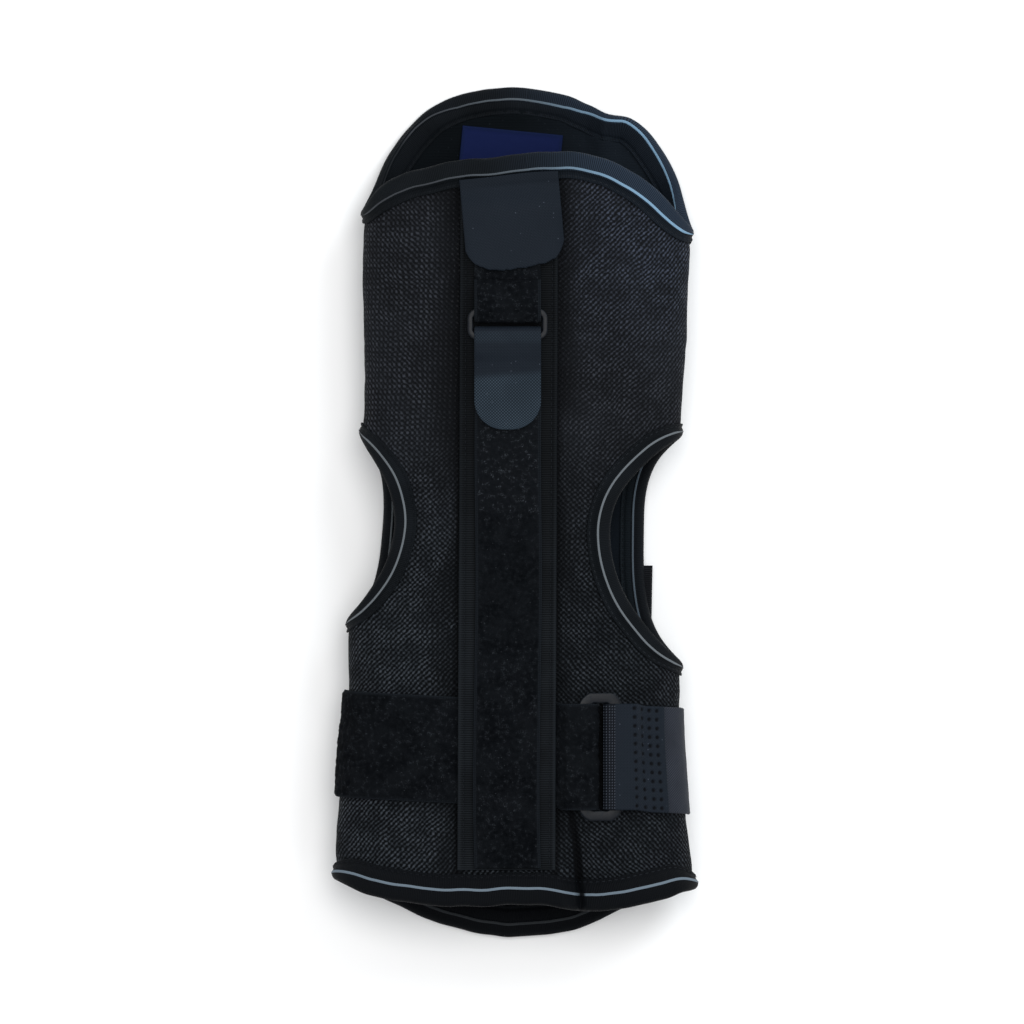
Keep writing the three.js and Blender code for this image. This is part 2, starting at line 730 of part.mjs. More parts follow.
// A ribbon: each path is the middle line of the ribbon in one plane, as pairs of run and height.
function ribbonGeometry(paths, thickness, place) {
  const face = (side) =>
    paths.map((path) =>
      path.points.map((p, i) => {
        const before = path.points[Math.max(0, i - 1)];
        const after = path.points[Math.min(path.points.length - 1, i + 1)];
        const run = after[0] - before[0];
        const rise = after[1] - before[1];
        const size = Math.hypot(run, rise);
        const out = (side * thickness) / 2;
        return place(p[0] - (rise / size) * out, p[1] + (run / size) * out, path.at, i);
      }),
    );
  return wall(face(1), face(-1));
}

// Half a turn of a ribbon round a bar, from under it to over it. facing is 1 if it turns at high runs.
function turnRound(run, height, radius, facing) {
  const steps = 6;
  return Array.from({ length: steps + 1 }, (_, i) => {
    const angle = (-Math.PI / 2) + (Math.PI * i) / steps;
    return [run + facing * radius * Math.cos(angle), height + radius * Math.sin(angle)];
  });
}

// A ribbon comes down from a ring in a soft S. facing is 1 if it does so towards high runs.
function descent(start, high, low, facing) {
  return [0.06, 0.35, 0.65, 1].map((share) => [
    facing * (start + share * strapDescent),
    mix(high, low, smooth(0.15 + 0.85 * share)),
  ]);
}

// Heights of the layers at a ring, over the cloth or sleeve that it lies on.
const barBottom = gap + pileThickness + gap;
const barMiddle = barBottom + barThickness / 2;
const legHeight = (thickness) => barBottom - gap - thickness / 2;
const turnRadius = (thickness) => barThickness / 2 + gap + thickness / 2;
const overBar = (thickness) => barMiddle + turnRadius(thickness);

// Places across a strap of a given width.
const acrossStrap = (width, steps) =>
  Array.from({ length: steps + 1 }, (_, i) => (i / steps - 0.5) * width);

const pullRingInner = pullRingHeight / 2 - pullBar; // ring's middle to the inside of a bar
const onSleeve = gap + pileThickness / 2;

const sleevePlace = (x, y, height) => new THREE.Vector3(x, y, sleeveHeight(x, y) + height);

// The ring and the folds round it lie level, and the strap bends down to the sleeve past them.
const pullRingReach = pullRingHeight / 2 + foldedLeg;
const pullRingBase = sleeveHeight(pullX, pullRingY + pullRingReach);
function ringPlace(x, y, height) {
  const level = 1 - smooth((Math.abs(y - pullRingY) - pullRingReach) / strapDescent);
  return new THREE.Vector3(x, y, mix(sleeveHeight(x, y), pullRingBase, level) + height);
}

// The upper part of the pull strap: down from the lock tab, over the upper bar and back under it.
function upperPullStrapGeometry() {
  const top = pullTopEnd - pullRingY;
  const paths = acrossStrap(pullWidth, 2).map((x) => ({
    at: x,
    points: [
      [pullRingReach, legHeight(pileThickness)],
      ...turnRound(pullRingInner, barMiddle, turnRadius(pileThickness), -1),
      [pullRingHeight / 2, overBar(pileThickness)],
      ...descent(pullRingReach, overBar(pileThickness), onSleeve, 1),
      [(top + pullRingReach + strapDescent) / 2, onSleeve],
      [top, onSleeve],
    ],
  }));
  return ribbonGeometry(paths, pileThickness, (run, height, at) =>
    ringPlace(pullX + at, pullRingY + run, height),
  );
}

// The lower part of the pull strap, lying on the sleeve from the toe end up to the ring.
function lowerPullStrapGeometry() {
  const end = pullRingY - pullRingHeight / 2 - foldedLeg;
  const grid = (height) =>
    sleeveStations(pullToeEnd, end).map((y) =>
      acrossStrap(pullWidth, 2).map((x) => sleevePlace(pullX + x, y, height)),
    );
  return wall(grid(gap + pileThickness), grid(gap));
}

// Half width of a tab near its rounded end.
function tabHalfWidth(width, corner, fromEnd) {
  if (fromEnd >= corner) return width / 2;
  return width / 2 - corner + Math.sqrt(corner ** 2 - (corner - fromEnd) ** 2);
}
const tabEndSteps = [1, 0.72, 0.45, 0.22, 0.07, 0];

// The pull tab: joined to the lower strap under the bar, round the bar and down over the strap.
function pullTabGeometry() {
  const thick = hookThickness;
  const onStrap = gap + pileThickness + gap + thick / 2;
  const lowBar = -pullRingHeight / 2;
  const runs = [
    [gap - pullRingReach, legHeight(thick)],
    [lowBar, legHeight(thick)],
    ...turnRound(-pullRingInner, barMiddle, turnRadius(thick), 1),
    [lowBar, overBar(thick)],
    ...descent(pullRingReach, overBar(thick), onStrap, -1),
    ...tabEndSteps.map((share) => [-pullTabLength + share * pullTabCorner, onStrap]),
  ];
  const paths = [-1, 0, 1].map((side) => ({ at: side, points: runs }));
  return ribbonGeometry(paths, thick, (run, height, at, i) => {
    const past = i - (runs.length - tabEndSteps.length);
    const fromEnd = past < 0 ? pullTabCorner : tabEndSteps[past] * pullTabCorner;
    const half = tabHalfWidth(pullWidth, pullTabCorner, fromEnd);
    return ringPlace(pullX + at * half, pullRingY + run, height);
  });
}

// The lock tab: from the edge tape down over the upper strap, leaning a little.
function lockTabGeometry() {
  const thick = hookThickness;
  const startX = sleeveX(calfEnd.at);
  const startY = sleeveCalfEnd(startX);
  const lean = radians(lockTabLean);
  const rowsDown = [0, 0.12, 0.24, 0.38, 0.55];
  const rise = gap + pileThickness;
  const steady = startY - pullTopEnd - strapEndPlay;
  const lengths = [
    ...rowsDown.map((share) => share * lockTabLength),
    ...tabEndSteps.map((share) => lockTabLength - share * lockTabCorner),
  ];
  const grid = (out) =>
    lengths.map((down) =>
      [-1, -0.5, 0, 0.5, 1].map((side) => {
        const half = tabHalfWidth(lockTabWidth, lockTabCorner, lockTabLength - down);
        const across = side * half;
        const hang = 1 - smooth(down / lockTabTurn);
        const x = startX + across * Math.cos(lean) + down * Math.sin(lean);
        const square = startY - down * Math.cos(lean) + across * Math.sin(lean);
        const y = mix(square, sleeveCalfEnd(x) - down, hang);
        const raised = smooth((startY - y) / steady) * rise;
        return new THREE.Vector3(x, y, sleeveHeight(x, y) + gap + raised + out);
      }),
    );
  return wall(grid(thick), grid(0));
}

// A flat ring with a window: width along X, height along Y, lying in the floor plan.
function ringGeometry(width, height, windowWidth, windowHeight, corner) {
  const chamfered = (path, w, h, c) => {
    path.moveTo(-w / 2 + c, -h / 2);
    path.lineTo(w / 2 - c, -h / 2);
    path.quadraticCurveTo(w / 2, -h / 2, w / 2, -h / 2 + c);
    path.lineTo(w / 2, h / 2 - c);
    path.quadraticCurveTo(w / 2, h / 2, w / 2 - c, h / 2);
    path.lineTo(-w / 2 + c, h / 2);
    path.quadraticCurveTo(-w / 2, h / 2, -w / 2, h / 2 - c);
    path.lineTo(-w / 2, -h / 2 + c);
    path.quadraticCurveTo(-w / 2, -h / 2, -w / 2 + c, -h / 2);
    return path;
  };
  const shape = chamfered(new THREE.Shape(), width, height, corner);
  shape.holes.push(chamfered(new THREE.Path(), windowWidth, windowHeight, windowCorner));
  const bevel = ringBevel;
  return new THREE.ExtrudeGeometry(shape, {
    depth: barThickness - 2 * bevel,
    bevelThickness: bevel,
    bevelSize: bevel,
    bevelOffset: -bevel,
    bevelSegments: 1,
    curveSegments: 4,
  }).translate(0, 0, bevel);
}

// The foot strap's layers lie on the tube. near is a run from the ring's middle, in the ring's plane.
const footRingY = footStrapY(aroundAtX(footRingX, footStrapRightY));
const footRingAround = aroundAtX(footRingX, footRingY);
const footRingSeat = skin(footRingAround, footRingY, 0);
const footRingOut = skin(footRingAround, footRingY, 1).sub(footRingSeat);
const footRingTilt = Math.atan2(footRingOut.x, footRingOut.z);
function nearFootRing(run, height) {
  return [
    footRingSeat.x + run * Math.cos(footRingTilt) + height * Math.sin(footRingTilt),
    footRingSeat.z - run * Math.sin(footRingTilt) + height * Math.cos(footRingTilt),
  ];
}
const footBarInner = footRingWidth / 2 - footRingBar;

// A strap round the foot: paths in the section plane, one for each place across the strap.
function footRibbon(thickness, nearPoints, turns, out) {
  const paths = acrossStrap(footStrapWidth, 3).map((across) => ({
    at: across,
    points: [
      ...nearPoints.map(([run, height]) => nearFootRing(run, height)),
      ...turns.map((around) => {
        const y = footStrapY(around) + across;
        const p = skin(around, y, out);
        return [p.x, p.z];
      }),
    ],
  }));
  const turnsStart = nearPoints.length;
  return ribbonGeometry(paths, thickness, (run, height, across, i) => {
    const around = i < turnsStart ? footRingAround : turns[i - turnsStart];
    return new THREE.Vector3(run, footStrapY(around) + across, height);
  });
}

const footJoin = 3.2; // quarters round the tube where the two straps meet on the back
const closestTurns = 0.05;

// Loop strap of the foot: under and over the left bar, under the sleeve, round the left side.
function footPileStrapGeometry() {
  const bar = -footRingWidth / 2;
  const onCloth = gap + pileThickness / 2;
  const near = [
    [bar - foldedLeg, legHeight(pileThickness)],
    ...turnRound(-footBarInner, barMiddle, turnRadius(pileThickness), 1),
    [bar, overBar(pileThickness)],
    ...descent(-bar + foldedLeg, overBar(pileThickness), onCloth, -1).slice(0, 2),
  ];
  const start = aroundAtX(footRingX - footRingWidth / 2 - foldedLeg - strapDescent, footRingY);
  const frontTurns = frontColumns.map((c) => 2 * c).filter((turn) => turn < start - closestTurns);
  const backTurns = backColumns.map((c) => 4 - 2 * c).filter((turn) => turn < 4 && turn > footJoin);
  const turns = [start, ...frontTurns.reverse(), ...backTurns, footJoin];
  return footRibbon(pileThickness, near, turns, onCloth);
}

// Plain webbing of the foot: from under the hook tab, round the right side to the back.
function footWebbingGeometry() {
  const start = aroundAtX(footRingX + footElasticStart, footRingY);
  const frontTurns = frontColumns.map((c) => 2 * c).filter((turn) => turn > start + closestTurns);
  const backTurns = backColumns.map((c) => 4 - 2 * c).filter((turn) => turn > 2 && turn < footJoin);
  const join = footJoin - gap / quarterLength(footRingY, 3);
  const turns = [start, ...frontTurns, ...backTurns.reverse(), join];
  return footRibbon(hookThickness, [], turns, gap + hookThickness / 2);
}

// Hook tab of the foot: under and over the right bar, then lying on the webbing.
function footTabGeometry() {
  const bar = footRingWidth / 2;
  const onWebbing = gap + hookThickness + gap + hookThickness / 2;
  const near = [
    [bar + foldedLeg, legHeight(hookThickness)],
    ...turnRound(footBarInner, barMiddle, turnRadius(hookThickness), -1),
    [bar, overBar(hookThickness)],
    ...descent(bar + foldedLeg, overBar(hookThickness), onWebbing, 1).slice(0, 2),
  ];
  const from = aroundAtX(footRingX + bar + foldedLeg + strapDescent, footRingY);
  const to = aroundAtX(footRingX + footTabEnd, footRingY);
  const turns = [0, 0.35, 0.7, 1].map((share) => mix(from, to, share));
  return footRibbon(hookThickness, near, turns, onWebbing);
}

// The heel strap on the back panel, raised over the ankle tapes at both ends.
function heelStrapGeometry() {
  const y = heelStrapY;
  const edge = (ankle) => besideSeam(ankle.side, -ankleReach(ankle, y, 'back'), y);
  const leftEdge = edge(ankles.left) + 4 - heelStrapInset / quarterLength(y, 3);
  const rightEdge = edge(ankles.right) - heelStrapOverhang / quarterLength(y, 2);
  const turns = heelColumns.map((share) => mix(rightEdge, leftEdge, share));
  const overTape = (around) => {
    const reach = Math.min(around - rightEdge, leftEdge - around) * quarterLength(y, 2);
    const past = (reach - ankleTapeWidth - heelStrapRamp / 2) / heelStrapRamp;
    return (tapePlay + tapeThickness) * (1 - smooth(past));
  };
  const grid = (out) =>
    turns.map((around) =>
      acrossStrap(heelStrapWidth, 2).map((across) =>
        skin(around, y + across, gap + overTape(around) + out),
      ),
    );
  return wall(grid(hookThickness), grid(0));
}

// Materials
const material = (color, roughness) =>
  new THREE.MeshStandardMaterial({ color, roughness, metalness: 0 });
const mesh3d = material(0x14151a, 0.9);
const lining = material(0x0d0f14, 0.95);
const edgeTape = material(0x12151c, 0.75);
const webbing = material(0x10131a, 0.85);
const pile = material(0x0a0b0e, 1.0);
const hookTape = material(0x1c222c, 0.6);
const plastic = material(0x1b1d22, 0.45);
const navyWeave = material(0x1a2450, 0.7);

const brace = new THREE.Group();
function add(name, geometry, finish, parent = brace) {
  const mesh = new THREE.Mesh(geometry, finish);
  mesh.name = name;
  parent.add(mesh);
  return mesh;
}

add('front_panel', panelGeometry('front'), mesh3d);
add('back_panel', panelGeometry('back'), lining);
add('calf_edge_tape', rimTapeGeometry(calfEnd), edgeTape);
add('toe_edge_tape', rimTapeGeometry(toeEnd), edgeTape);
add('left_ankle_tape', ankleTapeGeometry(ankles.left), edgeTape);
add('right_ankle_tape', ankleTapeGeometry(ankles.right), edgeTape);
add('stay_sleeve', sleeveGeometry(), webbing);
add('upper_pull_strap', upperPullStrapGeometry(), pile);
add('lower_pull_strap', lowerPullStrapGeometry(), pile);
add('pull_hook_tab', pullTabGeometry(), hookTape);
add('lock_hook_tab', lockTabGeometry(), hookTape);
add('foot_loop_strap', footPileStrapGeometry(), pile);
add('foot_webbing', footWebbingGeometry(), webbing);
add('foot_hook_tab', footTabGeometry(), hookTape);
add('heel_strap', heelStrapGeometry(), webbing);

const pullWindow = pullWidth + 2 * windowPlay;
const pullRing = add(
  'pull_ring',
  ringGeometry(
    pullWindow + 2 * pullRingSide, pullRingHeight, pullWindow, 2 * pullRingInner, pullRingCorner,
  ),
  plastic,
);
pullRing.position.set(pullX, pullRingY, pullRingBase + barBottom);

const footWindow = footStrapWidth + 2 * windowPlay;
const footRing = add(
  'foot_ring',
  ringGeometry(
    footRingWidth, footWindow + 2 * footRingEnd, 2 * footBarInner, footWindow, footRingCorner,
  ),
  plastic,
);
const ringCentre = nearFootRing(0, barBottom);
footRing.position.set(ringCentre[0], footRingY, ringCentre[1]);
footRing.rotation.y = footRingTilt;

const labelPatch = new THREE.BoxGeometry(labelWidth, labelHeight, labelThickness);
const label = add('inner_label', labelPatch, navyWeave);
const labelFloor = sectionAt(labelY).rest + panelThickness + gap + labelThickness / 2;
label.position.set(labelX, labelY, labelFloor);
label.rotation.z = radians(labelLean);

export default brace;
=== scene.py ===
"""Looks of a night splint for the foot and lower leg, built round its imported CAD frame."""

import math

import bmesh
import bpy
import numpy as np
from mathutils import Matrix, Vector


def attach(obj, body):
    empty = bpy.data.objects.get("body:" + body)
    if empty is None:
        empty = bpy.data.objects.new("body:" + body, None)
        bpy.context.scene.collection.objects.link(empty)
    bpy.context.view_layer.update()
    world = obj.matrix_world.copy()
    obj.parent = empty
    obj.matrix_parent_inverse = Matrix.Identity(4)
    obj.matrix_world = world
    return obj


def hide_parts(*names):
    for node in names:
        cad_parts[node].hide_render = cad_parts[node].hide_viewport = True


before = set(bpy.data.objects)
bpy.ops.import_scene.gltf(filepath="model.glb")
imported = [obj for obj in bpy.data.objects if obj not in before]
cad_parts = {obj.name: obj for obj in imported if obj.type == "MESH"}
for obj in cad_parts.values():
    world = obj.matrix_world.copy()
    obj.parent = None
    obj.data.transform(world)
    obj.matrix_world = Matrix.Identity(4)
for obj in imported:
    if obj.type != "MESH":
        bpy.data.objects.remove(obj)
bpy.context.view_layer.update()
scene = bpy.context.scene

# Metres in a millimetre, and how close two points are when they are one
MM = 0.001
WELD = 2e-6

# Sizes of the brace in millimetres, as in its CAD source
HALF_LENGTH = 204.0
HALF_WIDTH = 87.0
CROWN_HEIGHT = 57.0
SEAM_HEIGHT = 26.0
REST_FLATTENING = 2.0
CROWN_POWER = 2.6
PANEL = 3.5
TAPE = 0.9
PILE = 2.2
HOOK = 1.6
SLEEVE = 2.6
GAP = 0.4
TAPE_PLAY = 0.6
TAPE_WIDTH_AT_SEAM = 7.0
TAPE_NARROWING = 26.0
CLOTH_EDGE = 2.2
SEAM_PLAY = 0.1
REST_EASE = 0.8
FLOOR_EASE = 0.12
WRINKLE_HEIGHT = 0.24
WRINKLE_LENGTHS = (34, 95)
BACK_WRINKLE_SHARE = 0.35

# Tube: share of the half length, left and right half widths, crown, and what lies under it
TUBE = np.array([
    [-1.0, 1.0, 1.0, 1.0, 1],
    [-0.93, 1.0, 0.996, 1.0, 1],
    [-0.83, 0.998, 0.966, 0.995, 1],
    [-0.73, 0.99, 0.944, 0.985, 1],
    [-0.59, 0.962, 0.922, 0.98, 1],
    [-0.42, 0.926, 0.902, 0.98, 1],
    [-0.25, 0.922, 0.902, 0.965, 1],
    [0.0, 0.87, 0.906, 0.95, 0.7],
    [0.2, 0.845, 0.912, 0.96, 0],
    [0.49, 0.843, 0.952, 0.985, 0],
    [0.72, 0.843, 0.964, 1.0, 0],
    [1.0, 0.843, 0.964, 1.0, 0],
])

# Rims: place across from seam to seam, and share of the rim's rise. Inner stripes: distance in
# from the fold at each of the sides
CALF_FRONT = np.array([
    [-1, 0], [-0.92, 0.29], [-0.8, 0.49], [-0.52, 0.72], [-0.22, 0.85], [0.07, 0.97],
    [0.28, 1.0], [0.45, 0.96], [0.6, 0.81], [0.8, 0.5], [1, 0],
])
CALF_BACK = np.array([
    [-1, 0], [-0.93, 0.2], [-0.85, 0.42], [-0.74, 0.63], [-0.6, 0.8], [-0.35, 0.945],
    [-0.07, 1.0], [0.22, 0.97], [0.38, 0.9], [0.48, 0.84], [0.65, 0.815], [0.8, 0.64],
    [0.92, 0.36], [1, 0],
])
TOE_FRONT = np.array([
    [-1, 0], [-0.8, 0.62], [-0.52, 0.94], [-0.25, 0.95], [0.0, 0.84], [0.2, 0.87],
    [0.36, 1.08], [0.54, 0.96], [0.75, 0.64], [1, 0],
])
TOE_BACK = np.array([
    [-1, 0], [-0.8, 0.25], [-0.65, 0.48], [-0.5, 0.71], [-0.3, 0.9], [-0.05, 1.0],
    [0.2, 0.93], [0.4, 0.75], [0.58, 0.45], [0.75, 0.22], [1, 0],
])
STRIPE_SIDES = (-1.0, -0.72, -0.45, 0.25, 0.44, 0.6, 1.0)
CALF_END = {
    "inward": -1, "left": 146.0, "right": 137.0, "front": CALF_FRONT, "back": CALF_BACK,
    "front_rise": 32.0, "back_rise": 62.5, "tape": 13.0, "broad": (0.6, 1.0),
    "inner_stripe": (1.7, 1.8, 5.6, 6.0, 3.4, 2.4, 2.6),
}
TOE_END = {
    "inward": 1, "left": -176.5, "right": -181.0, "front": TOE_FRONT, "back": TOE_BACK,
    "front_rise": 11.0, "back_rise": 25.6, "tape": 15.4, "broad": (1.0, 1.0),
    "inner_stripe": (6.2,) * len(STRIPE_SIDES),
}
OUTER_STRIPE = 8.0
ANKLE_TAPE_WIDTH = 11.5
ANKLE_STRIPE_SHARE = 0.55

# Folds: place across, drift, half widths inside and outside, start, deepest place, depth and
# sharpness
CREASE = (0.325, 0.03, 0.1, 0.26, -0.68, -0.93, -0.13, 1.25)
CREASE_GROOVE = (0.325, 0.03, 0.018, 0.034, -0.62, -0.82, -0.056, 1.0)
CALF_DENT = (0.47, 0.0, 0.11, 0.11, 0.66, 0.95, 0.075, 1.4)

# Ankle openings: top, widest line and bottom, and half widths on the front and back panels
ANKLE_TOP = 36.0
ANKLE_WIDEST = -9.5
LEFT_ANKLE = {"side": "left", "bottom": -51.0, "front": 30.0, "back": 22.0}
RIGHT_ANKLE = {"side": "right", "bottom": -71.5, "front": 46.5, "back": 27.5}
FRONT_OVAL = {"power": 1.9, "root": 0.62}
BACK_OVAL = {"power": 3.5, "root": 0.6}

# Sleeve, straps and rings
SLEEVE_WIDTH = 47.0
SLEEVE_TOE_X = -4.8
SLEEVE_CALF_X = -2.9
SLEEVE_TOE_END = -171.5
SLEEVE_CALF_Y = 141.5
SLEEVE_END_GAP = 0.6
SLEEVE_THINNING = 16.0
SLEEVE_STITCH_LINE = 2.9
SLEEVE_COLUMNS = (
    0, 0.05, 0.18, 0.42, 0.78, 1.2, 1.8, 2.4, 2.9, 3.4, 4.2, 5.6, 7.6, 11.5, 16.0, 20.0,
)
STRAP_LIFT_MARGIN = 5.0
STRAP_LIFT_RAMP = 12.0
PULL_WIDTH = 32.0
PULL_X = -4.0
PULL_RING_Y = 89.8
PULL_RING_HEIGHT = 15.4
PULL_BAR = 3.6
PULL_TOP_END = 141.0
PULL_TOE_END = -170.5
PULL_TAB_LENGTH = 50.4
LOCK_TAB_WIDTH = 47.5
LOCK_TAB_LENGTH = 41.0
LOCK_TAB_SEWN = 4.2
LOCK_TAB_LEAN = math.radians(5.0)
FOOT_STRAP_WIDTH = 51.0
FOOT_STRAP_LEFT_Y = -110.7
FOOT_STRAP_RIGHT_Y = -119.8
FOOT_RING_X = 39.8
FOOT_RING_WIDTH = 20.6
FOOT_RING_BAR = 6.0
FOOT_TAB_END = 30.5
DOT_LINES = (4.4, 8.4, 13.4, 18.7)
DOT_REACH = 23.4
DOT_SPACING = 4.25
DOT_RADIUS = 1.05
KNITTED_START = 28.2
KNITTED_LINES = (33.9, 32.5, 31.2, 30.0, 28.8)
BEAD_REACH = 24.4
BEAD_SPACING = 1.35
FOLDED_LEG = 5.0
STRAP_DESCENT = 6.0
BAR_THICKNESS = 2.2
FOOT_JOIN = 3.2
HEEL_WIDTH = 31.5
HEEL_Y = -41.5
HEEL_STOPS_SHORT = 9.0
HEEL_SHOWS = 1.2
LABEL_WIDTH = 48.6
LABEL_HEIGHT = 22.0
LABEL_THICKNESS = 0.8
LABEL_X = -2.6
LABEL_Y = 172.7
LABEL_LEAN = math.radians(-5.6)

# Picture: metres across it, and the camera's distance and aim
PICTURE_WIDTH = 0.4915
CAMERA_DISTANCE = 9.0
CAMERA_AIM = (-0.00192, 0.0, 0.03)
SENSOR_WIDTH = 36.0
FLOOR_DROP = 0.0004


def mix(a, b, t):
    return a + (b - a) * t


def ease(t):
    t = np.clip(t, 0, 1)
    return t * t * (3 - 2 * t)


def near(distance, spread):
    """1 on a line, falling off softly on both sides of it."""
    return np.exp(-((distance / spread) ** 2))


def seam_distance(around):
    """Quarters round the tube to the nearer side seam."""
    return np.abs(around - 2 * np.round(around / 2))


def read_table(places, values, at):
    """A smooth curve through the rows of a table, read between them."""
    first, last = values[0], values[-1]
    after = np.append(values[1:], last) - np.insert(values[:-1], 0, first)
    span = np.append(places[1:], places[-1]) - np.insert(places[:-1], 0, places[0])
    slope = after / span
    i = np.clip(np.searchsorted(places, at) - 1, 0, len(places) - 2)
    width = places[i + 1] - places[i]
    t = np.clip((at - places[i]) / width, 0, 1)
    return (
        (2 * t**3 - 3 * t**2 + 1) * values[i]
        + (t**3 - 2 * t**2 + t) * width * slope[i]
        + (3 * t**2 - 2 * t**3) * values[i + 1]
        + (t**3 - t**2) * width * slope[i + 1]
    )


def uneven(shape, spread, seed):
    """Soft random unevenness that repeats at its edges, with a mean square of one."""
    noise = np.random.default_rng(seed).standard_normal(shape)
    waves = np.meshgrid(*[np.fft.fftfreq(n) for n in shape], indexing="ij")
    spreads = np.broadcast_to(spread, len(shape))
    blur = np.exp(-2 * sum((np.pi * w * s) ** 2 for w, s in zip(waves, spreads)))
    soft = np.real(np.fft.ifftn(np.fft.fftn(noise) * blur))
    return (soft - soft.mean()) / soft.std()


# Shape of the tube
def tube_section(y):
    along = y / HALF_LENGTH
    left = -HALF_WIDTH * read_table(TUBE[:, 0], TUBE[:, 1], along)
    right = HALF_WIDTH * read_table(TUBE[:, 0], TUBE[:, 2], along)
    crown = CROWN_HEIGHT * read_table(TUBE[:, 0], TUBE[:, 3], along)
    rest = mix(TAPE_PLAY + TAPE, GAP + PILE, read_table(TUBE[:, 0], TUBE[:, 4], along))
    return {
        "middle": (left + right) / 2, "reach": (right - left) / 2, "rest": rest,
        "above": crown - SEAM_HEIGHT, "below": SEAM_HEIGHT - rest + REST_FLATTENING,
    }


def oval_place(y, angle):
    """Place across, x, z and the outward direction of the tube's face at an angle."""
    tube = tube_section(y)
    c, s = np.cos(angle), np.sin(angle)
    across = np.sign(c) * np.abs(c) ** (2 / CROWN_POWER)
    up = np.sign(s) * np.abs(s) ** (2 / CROWN_POWER)
    height = np.where(up > 0, tube["above"], tube["below"])
    free = SEAM_HEIGHT + height * up
    nx = np.sign(c) * np.abs(across) ** (CROWN_POWER - 1) / tube["reach"]
    nz = np.sign(s) * np.abs(up) ** (CROWN_POWER - 1) / height
    size = np.hypot(nx, nz)
    over = free - tube["rest"]
    eased = np.hypot(over, REST_EASE)
    lifted = (1 + over / eased) / 2
    nx = nx / size * lifted
    nz = nz / size * lifted - (1 - lifted)
    size = np.hypot(nx, nz)
    x = tube["middle"] + tube["reach"] * across
    return across, x, tube["rest"] + (over + eased) / 2, nx / size, nz / size


ARC_SPACING = 2.0
ARC_ROWS = np.arange(-218.0, 219.0, ARC_SPACING)
ARC_STEPS = 256
even_shares = np.linspace(0, 1, ARC_STEPS + 1)
ARC_SHARE = np.zeros((4, len(ARC_ROWS), ARC_STEPS + 1))
ARC_PART = np.zeros_like(ARC_SHARE)
ARC_LENGTH = np.zeros((4, len(ARC_ROWS)))
for quarter in range(4):
    angles = np.pi * (1 - quarter / 2 - even_shares / 2)
    _, arc_x, arc_z, _, _ = oval_place(ARC_ROWS[:, None], angles[None, :])
    steps = np.hypot(np.diff(arc_x, axis=1), np.diff(arc_z, axis=1))
    lengths = np.insert(np.cumsum(steps, axis=1), 0, 0, axis=1)
    ARC_LENGTH[quarter] = lengths[:, -1]
    for row, total in enumerate(lengths[:, -1]):
        ARC_PART[quarter, row] = lengths[row] / total
        ARC_SHARE[quarter, row] = np.interp(even_shares, lengths[row] / total, even_shares)


def arc_row(y):
    row = np.clip((y - ARC_ROWS[0]) / ARC_SPACING, 0, len(ARC_ROWS) - 1.001)
    return row.astype(int), row - row.astype(int)


def read_arc(table, quarter, y, part):
    row, past = arc_row(y)
    column = np.clip(part * ARC_STEPS, 0, ARC_STEPS - 1e-6)
    c = column.astype(int)
    t = column - c
    low = mix(table[quarter, row, c], table[quarter, row, c + 1], t)
    high = mix(table[quarter, row + 1, c], table[quarter, row + 1, c + 1], t)
    return mix(low, high, past)


def quarter_length(y, quarter):
    row, past = arc_row(y)
    return mix(ARC_LENGTH[quarter, row], ARC_LENGTH[quarter, row + 1], past)


def angle_of(around, y):
    """Angle of a place that is given in quarters round the tube from the left seam."""
    turn = np.mod(around, 4)
    quarter = np.minimum(3, np.floor(turn)).astype(int)
    share = read_arc(ARC_SHARE, quarter, y, turn - quarter)
    return np.pi * (1 - quarter / 2 - share / 2)


def fold_lift(fold, across, y):
    place, drift, inner, outer, start, full, depth, power = fold
    deep = ease((y / HALF_LENGTH - start) / (full - start))
    off = across - place - drift * deep
    near = np.clip(1 - np.abs(off) / np.where(off < 0, inner, outer), 0, None)
    return CROWN_HEIGHT * depth * deep * near**power


wave_seeds = np.random.default_rng(21)
WRINKLES = [
    (
        wave_seeds.uniform(*WRINKLE_LENGTHS),
        wave_seeds.uniform(0, math.pi),
        wave_seeds.uniform(0, 6.3),
    )
    for _ in range(9)
]


def wrinkle(x, y):
    """Gentle unevenness of the cloth that all the layers on it share."""
    lift = 0
    for length, turn, phase in WRINKLES:
        run = x * math.cos(turn) + y * math.sin(turn)
        lift = lift + np.sin(2 * np.pi * run / length + phase) * length / WRINKLE_LENGTHS[1]
    return WRINKLE_HEIGHT * lift


def cloth(around, y, out):
    """A point of the tube, at a distance out from its face, in millimetres."""
    around, y, out = np.broadcast_arrays(around, y, out)
    across, x, z, nx, nz = oval_place(y, angle_of(around, y))
    front = np.mod(around, 4) < 2
    creased = fold_lift(CREASE, across, y) + fold_lift(CREASE_GROOVE, across, y)
    lift = np.where(front, creased, fold_lift(CALF_DENT, across, y))
    off = out + wrinkle(x, y) * np.where(front, 1.0, BACK_WRINKLE_SHARE)
    z = z + nz * off + lift
    return np.stack([x + nx * off, y, (z + np.hypot(z, FLOOR_EASE)) / 2], axis=-1)


def front_height(x, y):
    tube = tube_section(y)
    across = np.clip((x - tube["middle"]) / tube["reach"], -1, 1)
    up = (1 - np.abs(across) ** CROWN_POWER) ** (1 / CROWN_POWER)
    rise = SEAM_HEIGHT + tube["above"] * up
    return rise + fold_lift(CREASE, across, y) + wrinkle(x, y)


